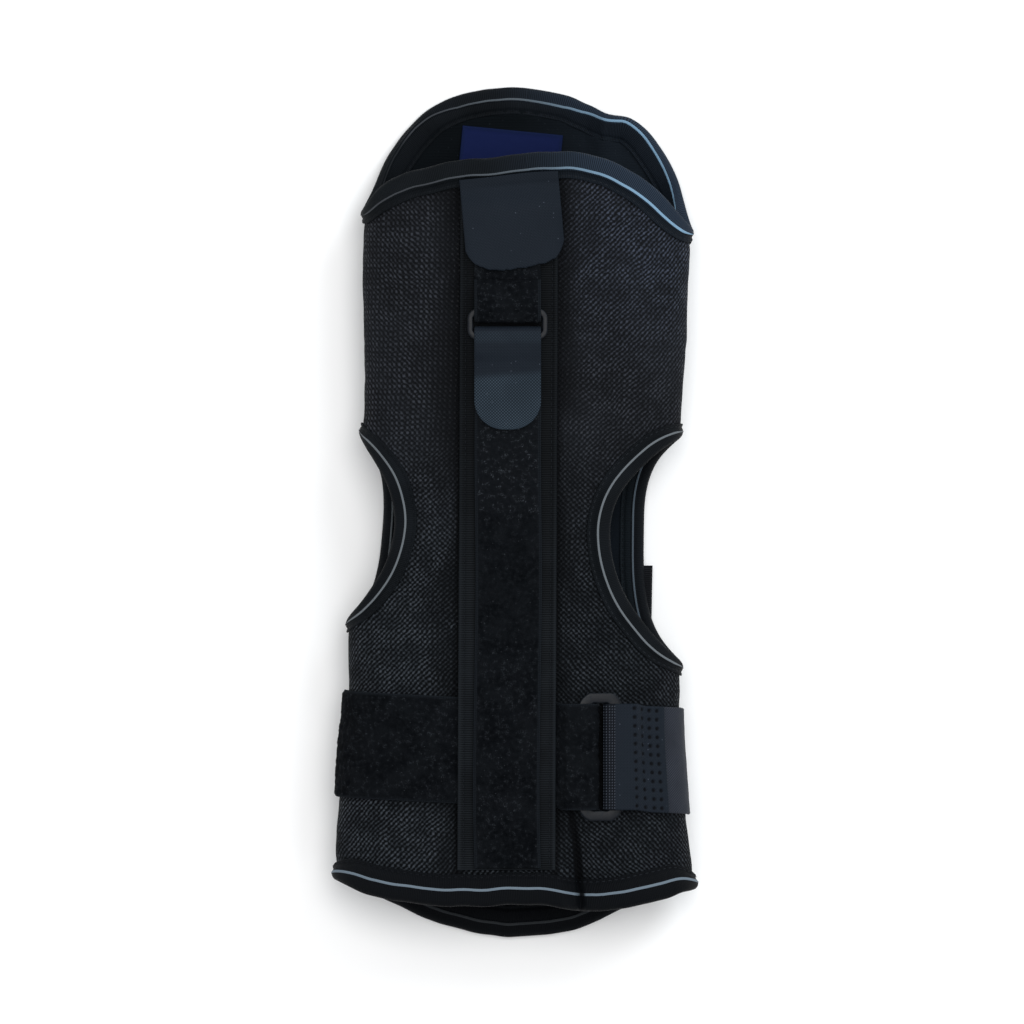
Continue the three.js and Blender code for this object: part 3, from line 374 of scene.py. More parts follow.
def around_at(x, y):
    """Quarters round the tube of a place on the front that is given by its x."""
    tube = tube_section(y)
    across = np.clip((x - tube["middle"]) / tube["reach"], -1, 1)
    c = np.sign(across) * np.abs(across) ** (CROWN_POWER / 2)
    turn = 2 - 2 * np.arccos(c) / np.pi
    quarter = np.clip(np.floor(turn), 0, 1).astype(int)
    return quarter + read_arc(ARC_PART, quarter, y, turn - quarter)


def beside_seam(side, forward, y):
    """Quarters round the tube at a distance forward of a side seam."""
    ahead = forward >= 0
    if side == "left":
        return forward / np.where(ahead, quarter_length(y, 0), quarter_length(y, 3))
    return 2 - forward / np.where(ahead, quarter_length(y, 1), quarter_length(y, 2))


# Rims of the calf and toe ends
def rim_height(end, around):
    at = np.full(np.shape(around), (end["left"] + end["right"]) / 2)
    across = np.clip(oval_place(at, angle_of(around, at))[0], -1, 1)
    base = mix(end["left"], end["right"], (across + 1) / 2)
    front = end["front_rise"] * read_table(end["front"][:, 0], end["front"][:, 1], across)
    back = end["back_rise"] * read_table(end["back"][:, 0], end["back"][:, 1], across)
    return base - end["inward"] * np.where(np.mod(around, 4) <= 2, front, back)


def rim_place(end, around, distance):
    """Place on the cloth at a distance in from the rim, square to it except at a seam."""
    step = 0.04
    y = rim_height(end, around)
    quarter = np.floor(np.mod(around, 4)).astype(int)
    length = quarter_length(y, quarter)
    run = 2 * step * length
    rise = rim_height(end, around + step) - rim_height(end, around - step)
    size = np.hypot(run, rise)
    turned = -end["inward"] * rise * ease(seam_distance(around) / 0.3) / size
    forward = (size + end["inward"] * rise * turned) / run
    return around + turned * distance / length, y + end["inward"] * forward * distance


def tape_width(full, from_seam):
    return mix(TAPE_WIDTH_AT_SEAM, full, ease(from_seam / TAPE_NARROWING))


def rim_tape_width(end, around):
    at = np.array((end["left"] + end["right"]) / 2)
    return tape_width(end["tape"], seam_distance(around) * quarter_length(at, 0))


# Outline of an ankle opening on the flat cloth
def ankle_edge(ankle, angle):
    front = np.sin(angle) >= 0
    power, root = [np.where(front, FRONT_OVAL[key], BACK_OVAL[key]) for key in ("power", "root")]
    c = np.cos(angle)
    half = np.where(c > 0, ANKLE_TOP - ANKLE_WIDEST, ANKLE_WIDEST - ankle["bottom"])
    width = np.where(front, ankle["front"], -ankle["back"])
    s = width * np.abs(np.sin(angle)) ** (2 * root)
    return s, ANKLE_WIDEST + half * np.sign(c) * np.abs(c) ** (2 / power)


def ankle_outline(ankle, angle, distance):
    step = 0.06
    s, y = ankle_edge(ankle, angle)
    s0, y0 = ankle_edge(ankle, angle - step)
    s1, y1 = ankle_edge(ankle, angle + step)
    size = np.hypot(s1 - s0, y1 - y0)
    return s - (y1 - y0) * distance / size, y + (s1 - s0) * distance / size


def ankle_bite(ankle, y, front):
    """How far an opening, with the hidden edge of the cloth, reaches into a panel."""
    angles = np.linspace(0, math.pi, 400) if front else np.linspace(math.tau, math.pi, 400)
    s, outline_y = ankle_outline(ankle, angles, CLOTH_EDGE)
    order = np.argsort(outline_y)
    bite = np.interp(y, outline_y[order], np.abs(s[order]), left=0, right=0)
    return np.maximum(bite, SEAM_PLAY)


# Mesh building
def spaced(length, spacing, edge=1.0):
    """Places from 0 to a length, close together near both ends, where the edge rounds off."""
    near = np.array([0, 0.04, 0.15, 0.35, 0.65]) * edge
    inner = np.linspace(edge, length - edge, max(2, round((length - 2 * edge) / spacing) + 1))
    return np.concatenate([near, inner, (length - near)[::-1]])


def grid_part(points, plan, lanes=None, tone=None):
    """A create_grid mesh moved to a grid of points, with the flat cloth's plan as its UV map
    and a tone from 0 to 1 for dotted or woven places, and for painted shade and highlights."""
    rows, columns = points.shape[:2]
    bm = bmesh.new()
    bm.loops.layers.uv.new("plan")
    bmesh.ops.create_grid(
        bm, x_segments=columns - 1, y_segments=rows - 1, size=1.0, calc_uvs=True
    )
    mesh = bpy.data.meshes.new("part")
    bm.to_mesh(mesh)
    bm.free()
    flat = np.empty(len(mesh.vertices) * 3, np.float32)
    mesh.vertices.foreach_get("co", flat)
    flat = flat.reshape(-1, 3)
    row = np.rint((flat[:, 1] + 1) / 2 * (rows - 1)).astype(int)
    column = np.rint((flat[:, 0] + 1) / 2 * (columns - 1)).astype(int)
    if lanes is not None:
        centres = np.empty(len(mesh.polygons) * 3, np.float32)
        mesh.polygons.foreach_get("center", centres)
        lane = np.floor((centres.reshape(-1, 3)[:, 0] + 1) / 2 * (columns - 1)).astype(int)
        mesh.polygons.foreach_set("material_index", np.asarray(lanes)[lane].astype(np.int32))
    mesh.vertices.foreach_set("co", (points[row, column] * MM).astype(np.float32).ravel())
    tones = mesh.attributes.new("tone", "FLOAT", "POINT")
    if tone is not None:
        tones.data.foreach_set("value", tone[row, column].astype(np.float32))
    corners = np.empty(len(mesh.loops), np.int32)
    mesh.loops.foreach_get("vertex_index", corners)
    corner_plan = plan[row[corners], column[corners]].astype(np.float32)
    mesh.uv_layers["plan"].uv.foreach_set("vector", corner_plan.ravel())
    return mesh


def piece(name, parts, materials, replaces, closed=True):
    """One object from its parts, riding on the brace."""
    bm = bmesh.new()
    for part in parts:
        bm.from_mesh(part)
        bpy.data.meshes.remove(part)
    if closed:
        bmesh.ops.remove_doubles(bm, verts=bm.verts, dist=WELD)
        bmesh.ops.recalc_face_normals(bm, faces=bm.faces)
    for face in bm.faces:
        face.smooth = True
    mesh = bpy.data.meshes.new(name)
    bm.to_mesh(mesh)
    bm.free()
    for material in materials:
        mesh.materials.append(material)
    obj = bpy.data.objects.new(name, mesh)
    scene.collection.objects.link(obj)
    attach(obj, "root")
    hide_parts(*replaces)
    return obj


def run_lengths(points, axis):
    steps = np.linalg.norm(np.diff(points, axis=axis), axis=-1)
    start = np.zeros_like(np.take(steps, [0], axis=axis))
    return np.concatenate([start, np.cumsum(steps, axis=axis)], axis=axis)


def facing(middle, at=0.5, up=True):
    """Directions square to a band, turned so that they point up at one place along it."""
    normals = np.cross(np.gradient(middle, axis=1), np.gradient(middle, axis=0))
    normals /= np.linalg.norm(normals, axis=-1, keepdims=True)
    row = int(at * (len(middle) - 1))
    points_up = normals[row, middle.shape[1] // 2, 2] > 0
    return normals if points_up == up else -normals


def band_parts(middle, thickness, normals, relief=0.0, tone=None):
    """Both faces of a flat band round its middle surface, meeting at its rounded edges."""
    across = run_lengths(middle, 1)
    along = run_lengths(middle, 0)
    radius = np.max(thickness) / 2

    def rounding(distance):
        inside = np.clip(1 - distance / radius, 0, 1)
        return np.sqrt(np.clip(1 - inside**2, 0, 1))

    swell = rounding(np.minimum(across, across[:, -1:] - across))
    swell = swell * rounding(np.minimum(along, along[-1:] - along))
    half = (np.asarray(thickness) / 2 * swell)[..., None]
    plan = np.stack([across - across[:, -1:] / 2, along], axis=-1)
    top = middle + normals * (half + (np.asarray(relief) * swell)[..., None])
    bottom = middle - normals * half
    return [grid_part(top, plan, tone=tone), grid_part(bottom, plan)]


def dense_rows(control, places):
    """Rows of points along a band at given lengths, on smooth curves through its control rows."""
    middle = control.shape[1] // 2
    lengths = run_lengths(control[:, middle:middle + 1], 0)[:, 0]
    total = lengths[-1]
    at = places / places[-1] * total
    rows = np.empty((len(places),) + control.shape[1:])
    for column in range(control.shape[1]):
        for axis in range(control.shape[2]):
            rows[:, column, axis] = read_table(lengths, control[:, column, axis], at)
    return rows


def control_length(control):
    middle = control.shape[1] // 2
    return run_lengths(control[:, middle:middle + 1], 0)[-1, 0]


def stitch_part(places, runs, ups, length=2.2, width=0.45, height=0.36, material=0):
    """Short sewn threads at places along a seam."""
    bm = bmesh.new()
    bm.loops.layers.uv.new("plan")
    for place, run, up in zip(places, runs, ups):
        run = Vector(run).normalized()
        side = run.cross(Vector(up)).normalized()
        lift = side.cross(run)
        turned = Matrix((
            (run.x * length / 2, side.x * width / 2, lift.x * height / 2, place[0]),
            (run.y * length / 2, side.y * width / 2, lift.y * height / 2, place[1]),
            (run.z * length / 2, side.z * width / 2, lift.z * height / 2, place[2]),
            (0, 0, 0, 1 / MM),
        )) * MM
        bmesh.ops.create_uvsphere(
            bm, u_segments=6, v_segments=4, radius=1.0, matrix=turned
        )
    for face in bm.faces:
        face.material_index = material
    mesh = bpy.data.meshes.new("stitches")
    bm.to_mesh(mesh)
    bm.free()
    return mesh


# Shader node groups
def link_or_set(tree, value, socket):
    if isinstance(value, (int, float, tuple)):
        socket.default_value = value
    else:
        tree.links.new(value, socket)


def calculate(tree, operation, *values):
    node = tree.nodes.new("ShaderNodeMath")
    node.operation = operation
    for value, socket in zip(values, node.inputs):
        link_or_set(tree, value, socket)
    return node.outputs[0]


def times(tree, value, *others):
    for other in others:
        value = calculate(tree, "MULTIPLY", value, other)
    return value


def turn_along(tree, run, spacing, turn):
    """Angle that grows by one turn for each spacing along a coordinate."""
    return times(tree, calculate(tree, "DIVIDE", run, spacing), turn)


def axes_of(tree, vector):
    split = tree.nodes.new("ShaderNodeSeparateXYZ")
    tree.links.new(vector, split.inputs[0])
    return split.outputs


def map_range(tree, value, low, high, to_low=0.0, to_high=1.0):
    node = tree.nodes.new("ShaderNodeMapRange")
    node.interpolation_type = "SMOOTHSTEP"
    for socket, given in zip(node.inputs, (value, low, high, to_low, to_high)):
        link_or_set(tree, given, socket)
    return node.outputs[0]


def colours(tree, mask, low, high):
    node = tree.nodes.new("ShaderNodeMix")
    node.data_type = "RGBA"
    link_or_set(tree, mask, node.inputs[0])
    for value, socket in ((low, node.inputs[6]), (high, node.inputs[7])):
        link_or_set(tree, (*value, 1.0) if isinstance(value, tuple) else value, socket)
    return node.outputs[2]


def noise(tree, vector, scale, detail=2.0, roughness=0.5):
    node = tree.nodes.new("ShaderNodeTexNoise")
    tree.links.new(vector, node.inputs["Vector"])
    link_or_set(tree, scale, node.inputs["Scale"])
    node.inputs["Detail"].default_value = detail
    node.inputs["Roughness"].default_value = roughness
    return node.outputs["Fac"]


def new_group(name, inputs, outputs):
    tree = bpy.data.node_groups.new(name, "ShaderNodeTree")
    for socket, kind in inputs.items():
        tree.interface.new_socket(socket, in_out="INPUT", socket_type=kind)
    for socket in outputs:
        tree.interface.new_socket(socket, in_out="OUTPUT", socket_type="NodeSocketFloat")
    return tree, tree.nodes.new("NodeGroupInput").outputs, tree.nodes.new("NodeGroupOutput").inputs


def group_node(tree, group, **values):
    node = tree.nodes.new("ShaderNodeGroup")
    node.node_tree = group
    for name, value in values.items():
        link_or_set(tree, value, node.inputs[name])
    return node.outputs


def make_thread_mesh():
    """Raised grains with dark holes between, on the cloth's plan. They lean one way at the
    calf's right and the foot's left, and stand in rows and columns at the calf's left."""
    tree, given, made = new_group(
        "thread mesh",
        {"Plan": "NodeSocketVector", "Columns": "NodeSocketFloat", "Rows": "NodeSocketFloat"},
        ("Height", "Thread", "Hole"),
    )
    shift = tree.nodes.new("ShaderNodeTexNoise")
    tree.links.new(given["Plan"], shift.inputs["Vector"])
    shift.inputs["Scale"].default_value = 0.07
    shift.inputs["Detail"].default_value = 4.0
    drawn = tree.nodes.new("ShaderNodeVectorMath")
    drawn.operation = "MULTIPLY_ADD"
    tree.links.new(shift.outputs["Color"], drawn.inputs[0])
    drawn.inputs[1].default_value = (4.0, 4.0, 0.0)
    tree.links.new(given["Plan"], drawn.inputs[2])
    warp, weft, _ = axes_of(tree, drawn.outputs[0])
    angles = [
        turn_along(tree, warp, given["Columns"], math.tau),
        turn_along(tree, weft, given["Rows"], math.tau),
    ]
    rising = calculate(tree, "COSINE", calculate(tree, "SUBTRACT", *angles))
    falling = calculate(tree, "COSINE", calculate(tree, "ADD", *angles))
    across, along, _ = axes_of(tree, given["Plan"])
    broad = noise(tree, given["Plan"], 0.022, 1.0)
    leaning = calculate(tree, "MULTIPLY_ADD", broad, 9000.0, times(tree, across, along))
    share = map_range(tree, leaning, 1500.0, 7500.0, 0.34, 0.7)
    at_left = map_range(tree, across, 0.0, -25.0, 0.0, 0.17)
    upright = times(tree, at_left, map_range(tree, along, 0.0, 50.0))
    weight = calculate(tree, "ADD", upright, 0.12)
    other_share = calculate(tree, "SUBTRACT", 1.0, share)
    slants = calculate(tree, "MULTIPLY_ADD", rising, share, times(tree, falling, other_share))
    columns, rows = [calculate(tree, "COSINE", angle) for angle in angles]
    lattice = calculate(tree, "MULTIPLY_ADD", rows, 0.7, columns)
    grains = calculate(tree, "MULTIPLY_ADD", slants, 0.74, times(tree, lattice, weight))
    fine = noise(tree, given["Plan"], 0.75, 3.0, 0.75)
    wear_and_crease_shade = calculate(tree, "MULTIPLY_ADD", fine, 2.9, calculate(tree, "SUBTRACT", grains, 1.45))
    patch = map_range(tree, noise(tree, given["Plan"], 0.11, 3.0, 0.6), 0.35, 0.65, 0.4, 1.0)
    tree.links.new(map_range(tree, wear_and_crease_shade, -0.9, 1.0), made["Height"])
    tree.links.new(times(tree, map_range(tree, wear_and_crease_shade, -0.35, 0.95), patch), made["Thread"])
    tree.links.new(map_range(tree, wear_and_crease_shade, 0.1, -0.7), made["Hole"])
    return tree


def make_ribs():
    """Round ribs across a coordinate in millimetres."""
    tree, given, made = new_group(
        "woven ribs", {"Run": "NodeSocketFloat", "Spacing": "NodeSocketFloat"}, ("Height",)
    )
    wave = calculate(tree, "SINE", turn_along(tree, given["Run"], given["Spacing"], math.pi))
    tree.links.new(calculate(tree, "ABSOLUTE", wave), made["Height"])
    return tree


def make_fluff():
    """Fibres, curls and clumps of a brushed or looped face, with a few pale specks of lint."""
    tree, given, made = new_group(
        "fluff", {"Place": "NodeSocketVector", "Scale": "NodeSocketFloat"},
        ("Height", "Clump", "Curl", "Lint"),
    )
    place, scale = given["Place"], given["Scale"]
    tree.links.new(noise(tree, place, times(tree, scale, 4.0), 3.0, 0.65), made["Height"])
    tree.links.new(map_range(tree, noise(tree, place, scale, 3.0), 0.35, 0.65), made["Clump"])
    winding = noise(tree, place, times(tree, scale, 2.1), 1.0)
    off = calculate(tree, "ABSOLUTE", calculate(tree, "SUBTRACT", winding, 0.5))
    patchy = map_range(tree, noise(tree, place, scale, 1.0), 0.53, 0.66)
    tree.links.new(times(tree, map_range(tree, off, 0.035, 0.0), patchy), made["Curl"])
    dots = tree.nodes.new("ShaderNodeTexVoronoi")
    tree.links.new(place, dots.inputs["Vector"])
    tree.links.new(times(tree, scale, 1.7), dots.inputs["Scale"])
    speck = map_range(tree, dots.outputs["Distance"], 0.16, 0.05)
    chance = tree.nodes.new("ShaderNodeSeparateColor")
    tree.links.new(dots.outputs["Color"], chance.inputs[0])
    rare = calculate(tree, "GREATER_THAN", chance.outputs[0], 0.86)
    tree.links.new(times(tree, speck, rare), made["Lint"])
    return tree


def make_fine_weave():
    """Small plain weave on the cloth's plan."""
    tree, given, made = new_group(
        "fine weave", {"Plan": "NodeSocketVector", "Spacing": "NodeSocketFloat"}, ("Height",)
    )
    across, along, _ = axes_of(tree, given["Plan"])
    waves = [
        calculate(tree, "SINE", turn_along(tree, run, given["Spacing"], math.pi))
        for run in (across, along)
    ]
    tree.links.new(calculate(tree, "ABSOLUTE", times(tree, *waves)), made["Height"])
    return tree


THREAD_MESH = make_thread_mesh()
RIBS = make_ribs()
FLUFF = make_fluff()
FINE_WEAVE = make_fine_weave()


def new_finish(name, roughness, specular):
    """A material with its shader set, and the places that its patterns read."""
    material = bpy.data.materials.new(name)
    material.use_nodes = True
    tree = material.node_tree
    shader = tree.nodes["Principled BSDF"]
    shader.inputs["Roughness"].default_value = roughness
    shader.inputs["Specular IOR Level"].default_value = specular
    plan = tree.nodes.new("ShaderNodeUVMap")
    plan.uv_map = "plan"
    place = tree.nodes.new("ShaderNodeTexCoord")
    tone = tree.nodes.new("ShaderNodeAttribute")
    tone.attribute_name = "tone"
    read = {"plan": plan.outputs[0], "place": place.outputs["Object"], "tone": tone.outputs["Fac"]}
    return material, tree, shader, read


def add_relief(tree, shader, height, distance):
    bump = tree.nodes.new("ShaderNodeBump")
    bump.inputs["Strength"].default_value = 1.0
    bump.inputs["Distance"].default_value = distance * MM
    tree.links.new(height, bump.inputs["Height"])
    tree.links.new(bump.outputs[0], shader.inputs["Normal"])


def drifting(tree, read, scale, low=0.0, high=1.0, detail=2.0):
    """Slow change from place to place, the same for every piece."""
    return map_range(tree, noise(tree, read["place"], scale, detail), 0.3, 0.7, low, high)


def turned_plan(tree, read, degrees):
    turned = tree.nodes.new("ShaderNodeMapping")
    turned.inputs["Rotation"].default_value = (0.0, 0.0, math.radians(degrees))
    tree.links.new(read["plan"], turned.inputs["Vector"])
    return turned.outputs[0]


def paint(tree, shader, ground, *layers):
    """Base colour from a ground and layers of mask and colour over it."""
    colour = ground
    for mask, over in layers:
        colour = colours(tree, mask, colour, over)
    tree.links.new(colour, shader.inputs["Base Color"])


def mesh_cloth():
    material, tree, shader, read = new_finish("padded air mesh", 0.5, 0.04)
    threads = group_node(tree, THREAD_MESH, Plan=read["plan"], Columns=2.55, Rows=2.5)
    across, along, _ = axes_of(tree, read["place"])
    upper = map_range(tree, along, -0.06, 0.07)
    low = colours(tree, upper, (0.0030, 0.0038, 0.0048), (0.0060, 0.0066, 0.0080))
    high = colours(tree, upper, (0.0048, 0.0060, 0.0074), (0.0092, 0.0104, 0.0128))
    ground = colours(tree, drifting(tree, read, 28.0), low, high)
    # Painted light: the pale threads are painted brighter and bluer at the calf's right, where
    # light falls on the cloth.
    to_right = map_range(tree, across, -0.02, 0.08)
    lit = times(tree, to_right, map_range(tree, along, 0.05, 0.15))
    unlit = colours(tree, upper, (0.042, 0.049, 0.059), (0.029, 0.032, 0.040))
    pale = colours(tree, lit, unlit, (0.052, 0.064, 0.094))
    # Painted shade: the pale threads are dimmed below the waist on the right, where a broad wrinkle
    # lies in shade.
    below_waist = map_range(tree, along, 0.06, 0.01, 0.0, 0.4)
    below_right = times(tree, map_range(tree, across, 0.0, 0.03), below_waist)
    dimmed = calculate(tree, "SUBTRACT", 1.0, below_right)
    # Painted shade from the tone: the pale threads are dimmed and the ground darkened beside the
    # sleeve, in the crease and under the foot ring; the seams are darkened too.
    raised = times(tree, dimmed, map_range(tree, read["tone"], 0.05, 0.6, 1.0, 0.3))
    holes = times(tree, threads["Hole"], map_range(tree, upper, 0.0, 1.0, 0.8, 0.45))
    shaded = map_range(tree, read["tone"], 0.0, 1.2, 0.0, 0.85)
    paint(
        tree, shader, ground, (times(tree, threads["Thread"], raised), pale),
        (holes, (0.0012, 0.0013, 0.0017)), (shaded, (0.0022, 0.0024, 0.0030)),
    )
    roughness = map_range(tree, threads["Thread"], 0.0, 1.0, 0.8, 0.42)
    tree.links.new(roughness, shader.inputs["Roughness"])
    add_relief(tree, shader, threads["Height"], 0.45)
    return material


def lining_cloth():
    material, tree, shader, read = new_finish("brushed lining", 0.85, 0.025)
    fluff = group_node(tree, FLUFF, Place=read["place"], Scale=380.0)
    lines = group_node(tree, RIBS, Run=axes_of(tree, read["plan"])["Y"], Spacing=1.4)
    # Painted light: the lining is painted lighter towards the right, where it lies in shade.
    to_right = map_range(tree, axes_of(tree, read["place"])["X"], -0.01, 0.06)
    shade = colours(tree, to_right, (0.0020, 0.0029, 0.0037), (0.0082, 0.0114, 0.0160))
    uneven_shade = times(tree, drifting(tree, read, 18.0), 0.5)
    ground = colours(tree, uneven_shade, shade, (0.0038, 0.0052, 0.0068))
    streaks = times(tree, lines["Height"], 0.08)
    paint(
        tree, shader, ground, (streaks, (0.0100, 0.0130, 0.0165)),
        (fluff["Lint"], (0.020, 0.024, 0.030)),
    )
    height = calculate(tree, "MULTIPLY_ADD", lines["Height"], 0.3, fluff["Height"])
    add_relief(tree, shader, height, 0.2)
    return material


def tape_cloth():
    material, tree, shader, read = new_finish("edge tape", 0.6, 0.045)
    ribs = group_node(tree, RIBS, Run=axes_of(tree, read["plan"])["Y"], Spacing=0.85)
    across, along, _ = axes_of(tree, read["place"])
    # Painted light and shade: the pale ribs are painted brighter and bluer towards the calf's
    # right, where light falls, and the tape darker at the toe end, which faces down.
    to_calf = map_range(tree, along, 0.06, 0.14)
    to_right = map_range(tree, across, -0.02, 0.06)
    from_toe = map_range(tree, along, -0.18, -0.15)
    drift = drifting(tree, read, 40.0)
    ground = colours(tree, drift, (0.0030, 0.0040, 0.0052), (0.0050, 0.0065, 0.0085))
    ground = colours(tree, from_toe, (0.0024, 0.0030, 0.0041), ground)
    at_calf = colours(tree, to_right, (0.0055, 0.0075, 0.0095), (0.0380, 0.0600, 0.0980))
    at_toe = colours(tree, from_toe, (0.0030, 0.0038, 0.0050), (0.0050, 0.0062, 0.0078))
    pale = colours(tree, to_calf, at_toe, at_calf)
    # Painted light: a tone of 2 lightens the tape's face inside the tube, which lies in shade.
    inside = map_range(tree, read["tone"], 1.2, 2.0)
    ground = colours(tree, inside, ground, (0.0105, 0.0150, 0.0190))
    # The tone shows the pale ribs near the fold and hides them where a crease is painted dark as
    # shade.
    shown = map_range(tree, read["tone"], 0.0, 1.0, 0.12, 0.5)
    paint(tree, shader, ground, (times(tree, ribs["Height"], shown), pale))
    add_relief(tree, shader, ribs["Height"], 0.2)
    return material


def stripe_cloth():
    material, tree, shader, read = new_finish("pale blue stripe", 0.55, 0.15)
    across, along, up = axes_of(tree, read["place"])
    # Painted light and shade: the stripe is painted bluer and brighter towards the calf's right and
    # the toe, where light falls, and greyer and darker towards the calf's left and low behind the
    # right ankle.
    toward_toe = map_range(tree, along, -0.10, -0.17)
    lower = colours(tree, toward_toe, (0.124, 0.140, 0.154), (0.138, 0.178, 0.218))
    toward_left = map_range(tree, across, 0.0, -0.045)
    calf_left = colours(tree, toward_left, (0.078, 0.094, 0.110), (0.036, 0.040, 0.047))
    toward_right = map_range(tree, across, -0.005, 0.065)
    at_calf = colours(tree, toward_right, calf_left, (0.190, 0.325, 0.460))
    at_right = map_range(tree, across, 0.050, 0.058)
    behind_ankle = times(tree, at_right, map_range(tree, up, 0.030, 0.026))
    lower = colours(tree, behind_ankle, lower, (0.078, 0.104, 0.132))
    base = colours(tree, map_range(tree, along, 0.11, 0.135), lower, at_calf)
    # Painted shade: the stripe is painted dark inside the toe end and where it turns under at the
    # calf's left.
    past_toe = map_range(tree, along, -0.172, -0.182)
    inside_toe = times(tree, past_toe, map_range(tree, up, 0.016, 0.009))
    toed = colours(tree, inside_toe, base, (0.018, 0.021, 0.024))
    left_calf = times(
        tree, map_range(tree, along, 0.130, 0.138), map_range(tree, across, -0.050, -0.056)
    )
    turned_under = times(tree, left_calf, map_range(tree, up, 0.026, 0.024))
    unfolded = colours(tree, turned_under, toed, (0.010, 0.012, 0.015))
    # Painted shade: where the tone drops in a crease, the stripe is painted dark.
    wear_and_crease_shade = colours(tree, read["tone"], (0.006, 0.007, 0.009), unfolded)
    weave = group_node(tree, FINE_WEAVE, Plan=read["plan"], Spacing=0.45)
    threads = map_range(tree, weave["Height"], 0.0, 0.6, 0.75, 1.0)
    paint(tree, shader, colours(tree, threads, (0.012, 0.016, 0.020), wear_and_crease_shade))
    add_relief(tree, shader, weave["Height"], 0.1)
    return material


def webbing_cloth(name, low, high, spacing, axis, tone_colour):
    material, tree, shader, read = new_finish(name, 0.6, 0.045)
    ribs = group_node(tree, RIBS, Run=axes_of(tree, read["plan"])[axis], Spacing=spacing)
    fluff = group_node(tree, FLUFF, Place=read["place"], Scale=600.0)
    across, along, _ = axes_of(tree, read["place"])
    to_calf = map_range(tree, along, -0.07, 0.03, 1.0, 0.42)
    fade = times(tree, to_calf, map_range(tree, across, -0.01, 0.01, 1.0, 0.8))
    drift = drifting(tree, read, 60.0, 0.55)
    paint(
        tree, shader, colours(tree, times(tree, ribs["Height"], drift, fade), low, high),
        (times(tree, read["tone"], fade), tone_colour),
        (fluff["Lint"], tuple(1.8 * c for c in high)),
    )
    height = calculate(tree, "MULTIPLY_ADD", fluff["Height"], 0.25, ribs["Height"])
    add_relief(tree, shader, height, 0.16)
    return material


def elastic_cloth():
    material, tree, shader, read = new_finish("foot elastic", 0.6, 0.05)
    weave = group_node(tree, FINE_WEAVE, Plan=turned_plan(tree, read, 40), Spacing=0.95)
    mask = times(tree, weave["Height"], drifting(tree, read, 70.0, 0.6))
    paint(tree, shader, colours(tree, mask, (0.011, 0.013, 0.018), (0.036, 0.041, 0.054)))
    add_relief(tree, shader, weave["Height"], 0.12)
    return material


def loop_pile():
    """Brushed up between the pull tab and the waist, matted from there to the foot strap."""
    material, tree, shader, read = new_finish("loop pile", 0.85, 0.02)
    fluff = group_node(tree, FLUFF, Place=read["place"], Scale=430.0)
    weave = group_node(tree, FINE_WEAVE, Plan=read["plan"], Spacing=0.8)
    along = axes_of(tree, read["place"])["Y"]
    past_waist = map_range(tree, along, -0.004, 0.006)
    brushed = times(tree, past_waist, map_range(tree, along, 0.08, 0.06))
    below_waist = map_range(tree, along, 0.0, -0.01)
    matting_and_shade = times(tree, below_waist, map_range(tree, along, -0.07, -0.06))
    shade = colours(tree, brushed, (0.0018, 0.0023, 0.0031), (0.0046, 0.0056, 0.0070))
    broad = drifting(tree, read, 90.0, detail=3.0)
    ground = colours(tree, broad, shade, (0.0044, 0.0053, 0.0066))
    clump = times(tree, fluff["Clump"], calculate(tree, "MULTIPLY_ADD", brushed, 0.5, 0.45))
    fibres = map_range(tree, fluff["Height"], 0.58, 0.85)
    curls = calculate(tree, "MULTIPLY_ADD", brushed, 0.6, 0.45)
    curls = calculate(tree, "MULTIPLY_ADD", matting_and_shade, -0.28, curls)
    edge = colours(tree, weave["Height"], (0.0040, 0.0050, 0.0064), (0.0115, 0.0140, 0.0175))
    paint(
        tree, shader, ground, (clump, (0.0062, 0.0072, 0.0088)),
        (fibres, (0.010, 0.012, 0.015)),
        (times(tree, fluff["Curl"], curls), (0.044, 0.051, 0.060)),
        (fluff["Lint"], (0.050, 0.055, 0.062)), (read["tone"], edge),
    )
    add_relief(tree, shader, fluff["Height"], 0.5)
    return material


def hook_tape():
    """Smooth backing where the tone is 0, coarse weave at 1 and pressed dots at -1."""
    # The lock tab's painted shade under the tape is a tone below 0, and the pull tab's painted
    # highlight at its bend is a tone above 0.
    material, tree, shader, read = new_finish("hook tape", 0.55, 0.05)
    smooth = group_node(tree, FINE_WEAVE, Plan=read["plan"], Spacing=0.7)
    rough = group_node(tree, FINE_WEAVE, Plan=turned_plan(tree, read, 45), Spacing=1.05)
    fluff = group_node(tree, FLUFF, Place=read["place"], Scale=260.0)
    drift = drifting(tree, read, 45.0, 0.7)
    backing, woven = [
        colours(tree, times(tree, weave["Height"], drift), low, high)
        for weave, low, high in (
            (smooth, (0.0062, 0.0090, 0.0135), (0.0112, 0.0155, 0.0225)),
            (rough, (0.0040, 0.0065, 0.0100), (0.0380, 0.0560, 0.0760)),
        )
    ]
    paint(
        tree, shader, backing, (map_range(tree, read["tone"], 0.0, 1.0), woven),
        (fluff["Lint"], (0.05, 0.06, 0.08)),
        (map_range(tree, read["tone"], 0.0, -1.0), (0.0012, 0.0016, 0.0027)),
    )
    add_relief(tree, shader, rough["Height"], 0.12)
    return material


def ring_plastic():
    material, tree, shader, read = new_finish("moulded ring", 0.42, 0.13)
    grain = noise(tree, read["place"], 2600.0, 2.0)
    scuffs = map_range(tree, noise(tree, read["place"], 240.0, 4.0, 0.7), 0.5, 0.75)
    paint(tree, shader, colours(tree, scuffs, (0.0022, 0.0035, 0.0060), (0.0064, 0.0088, 0.0126)))
    tree.links.new(map_range(tree, scuffs, 0.0, 1.0, 0.34, 0.55), shader.inputs["Roughness"])
    add_relief(tree, shader, grain, 0.02)
    return material


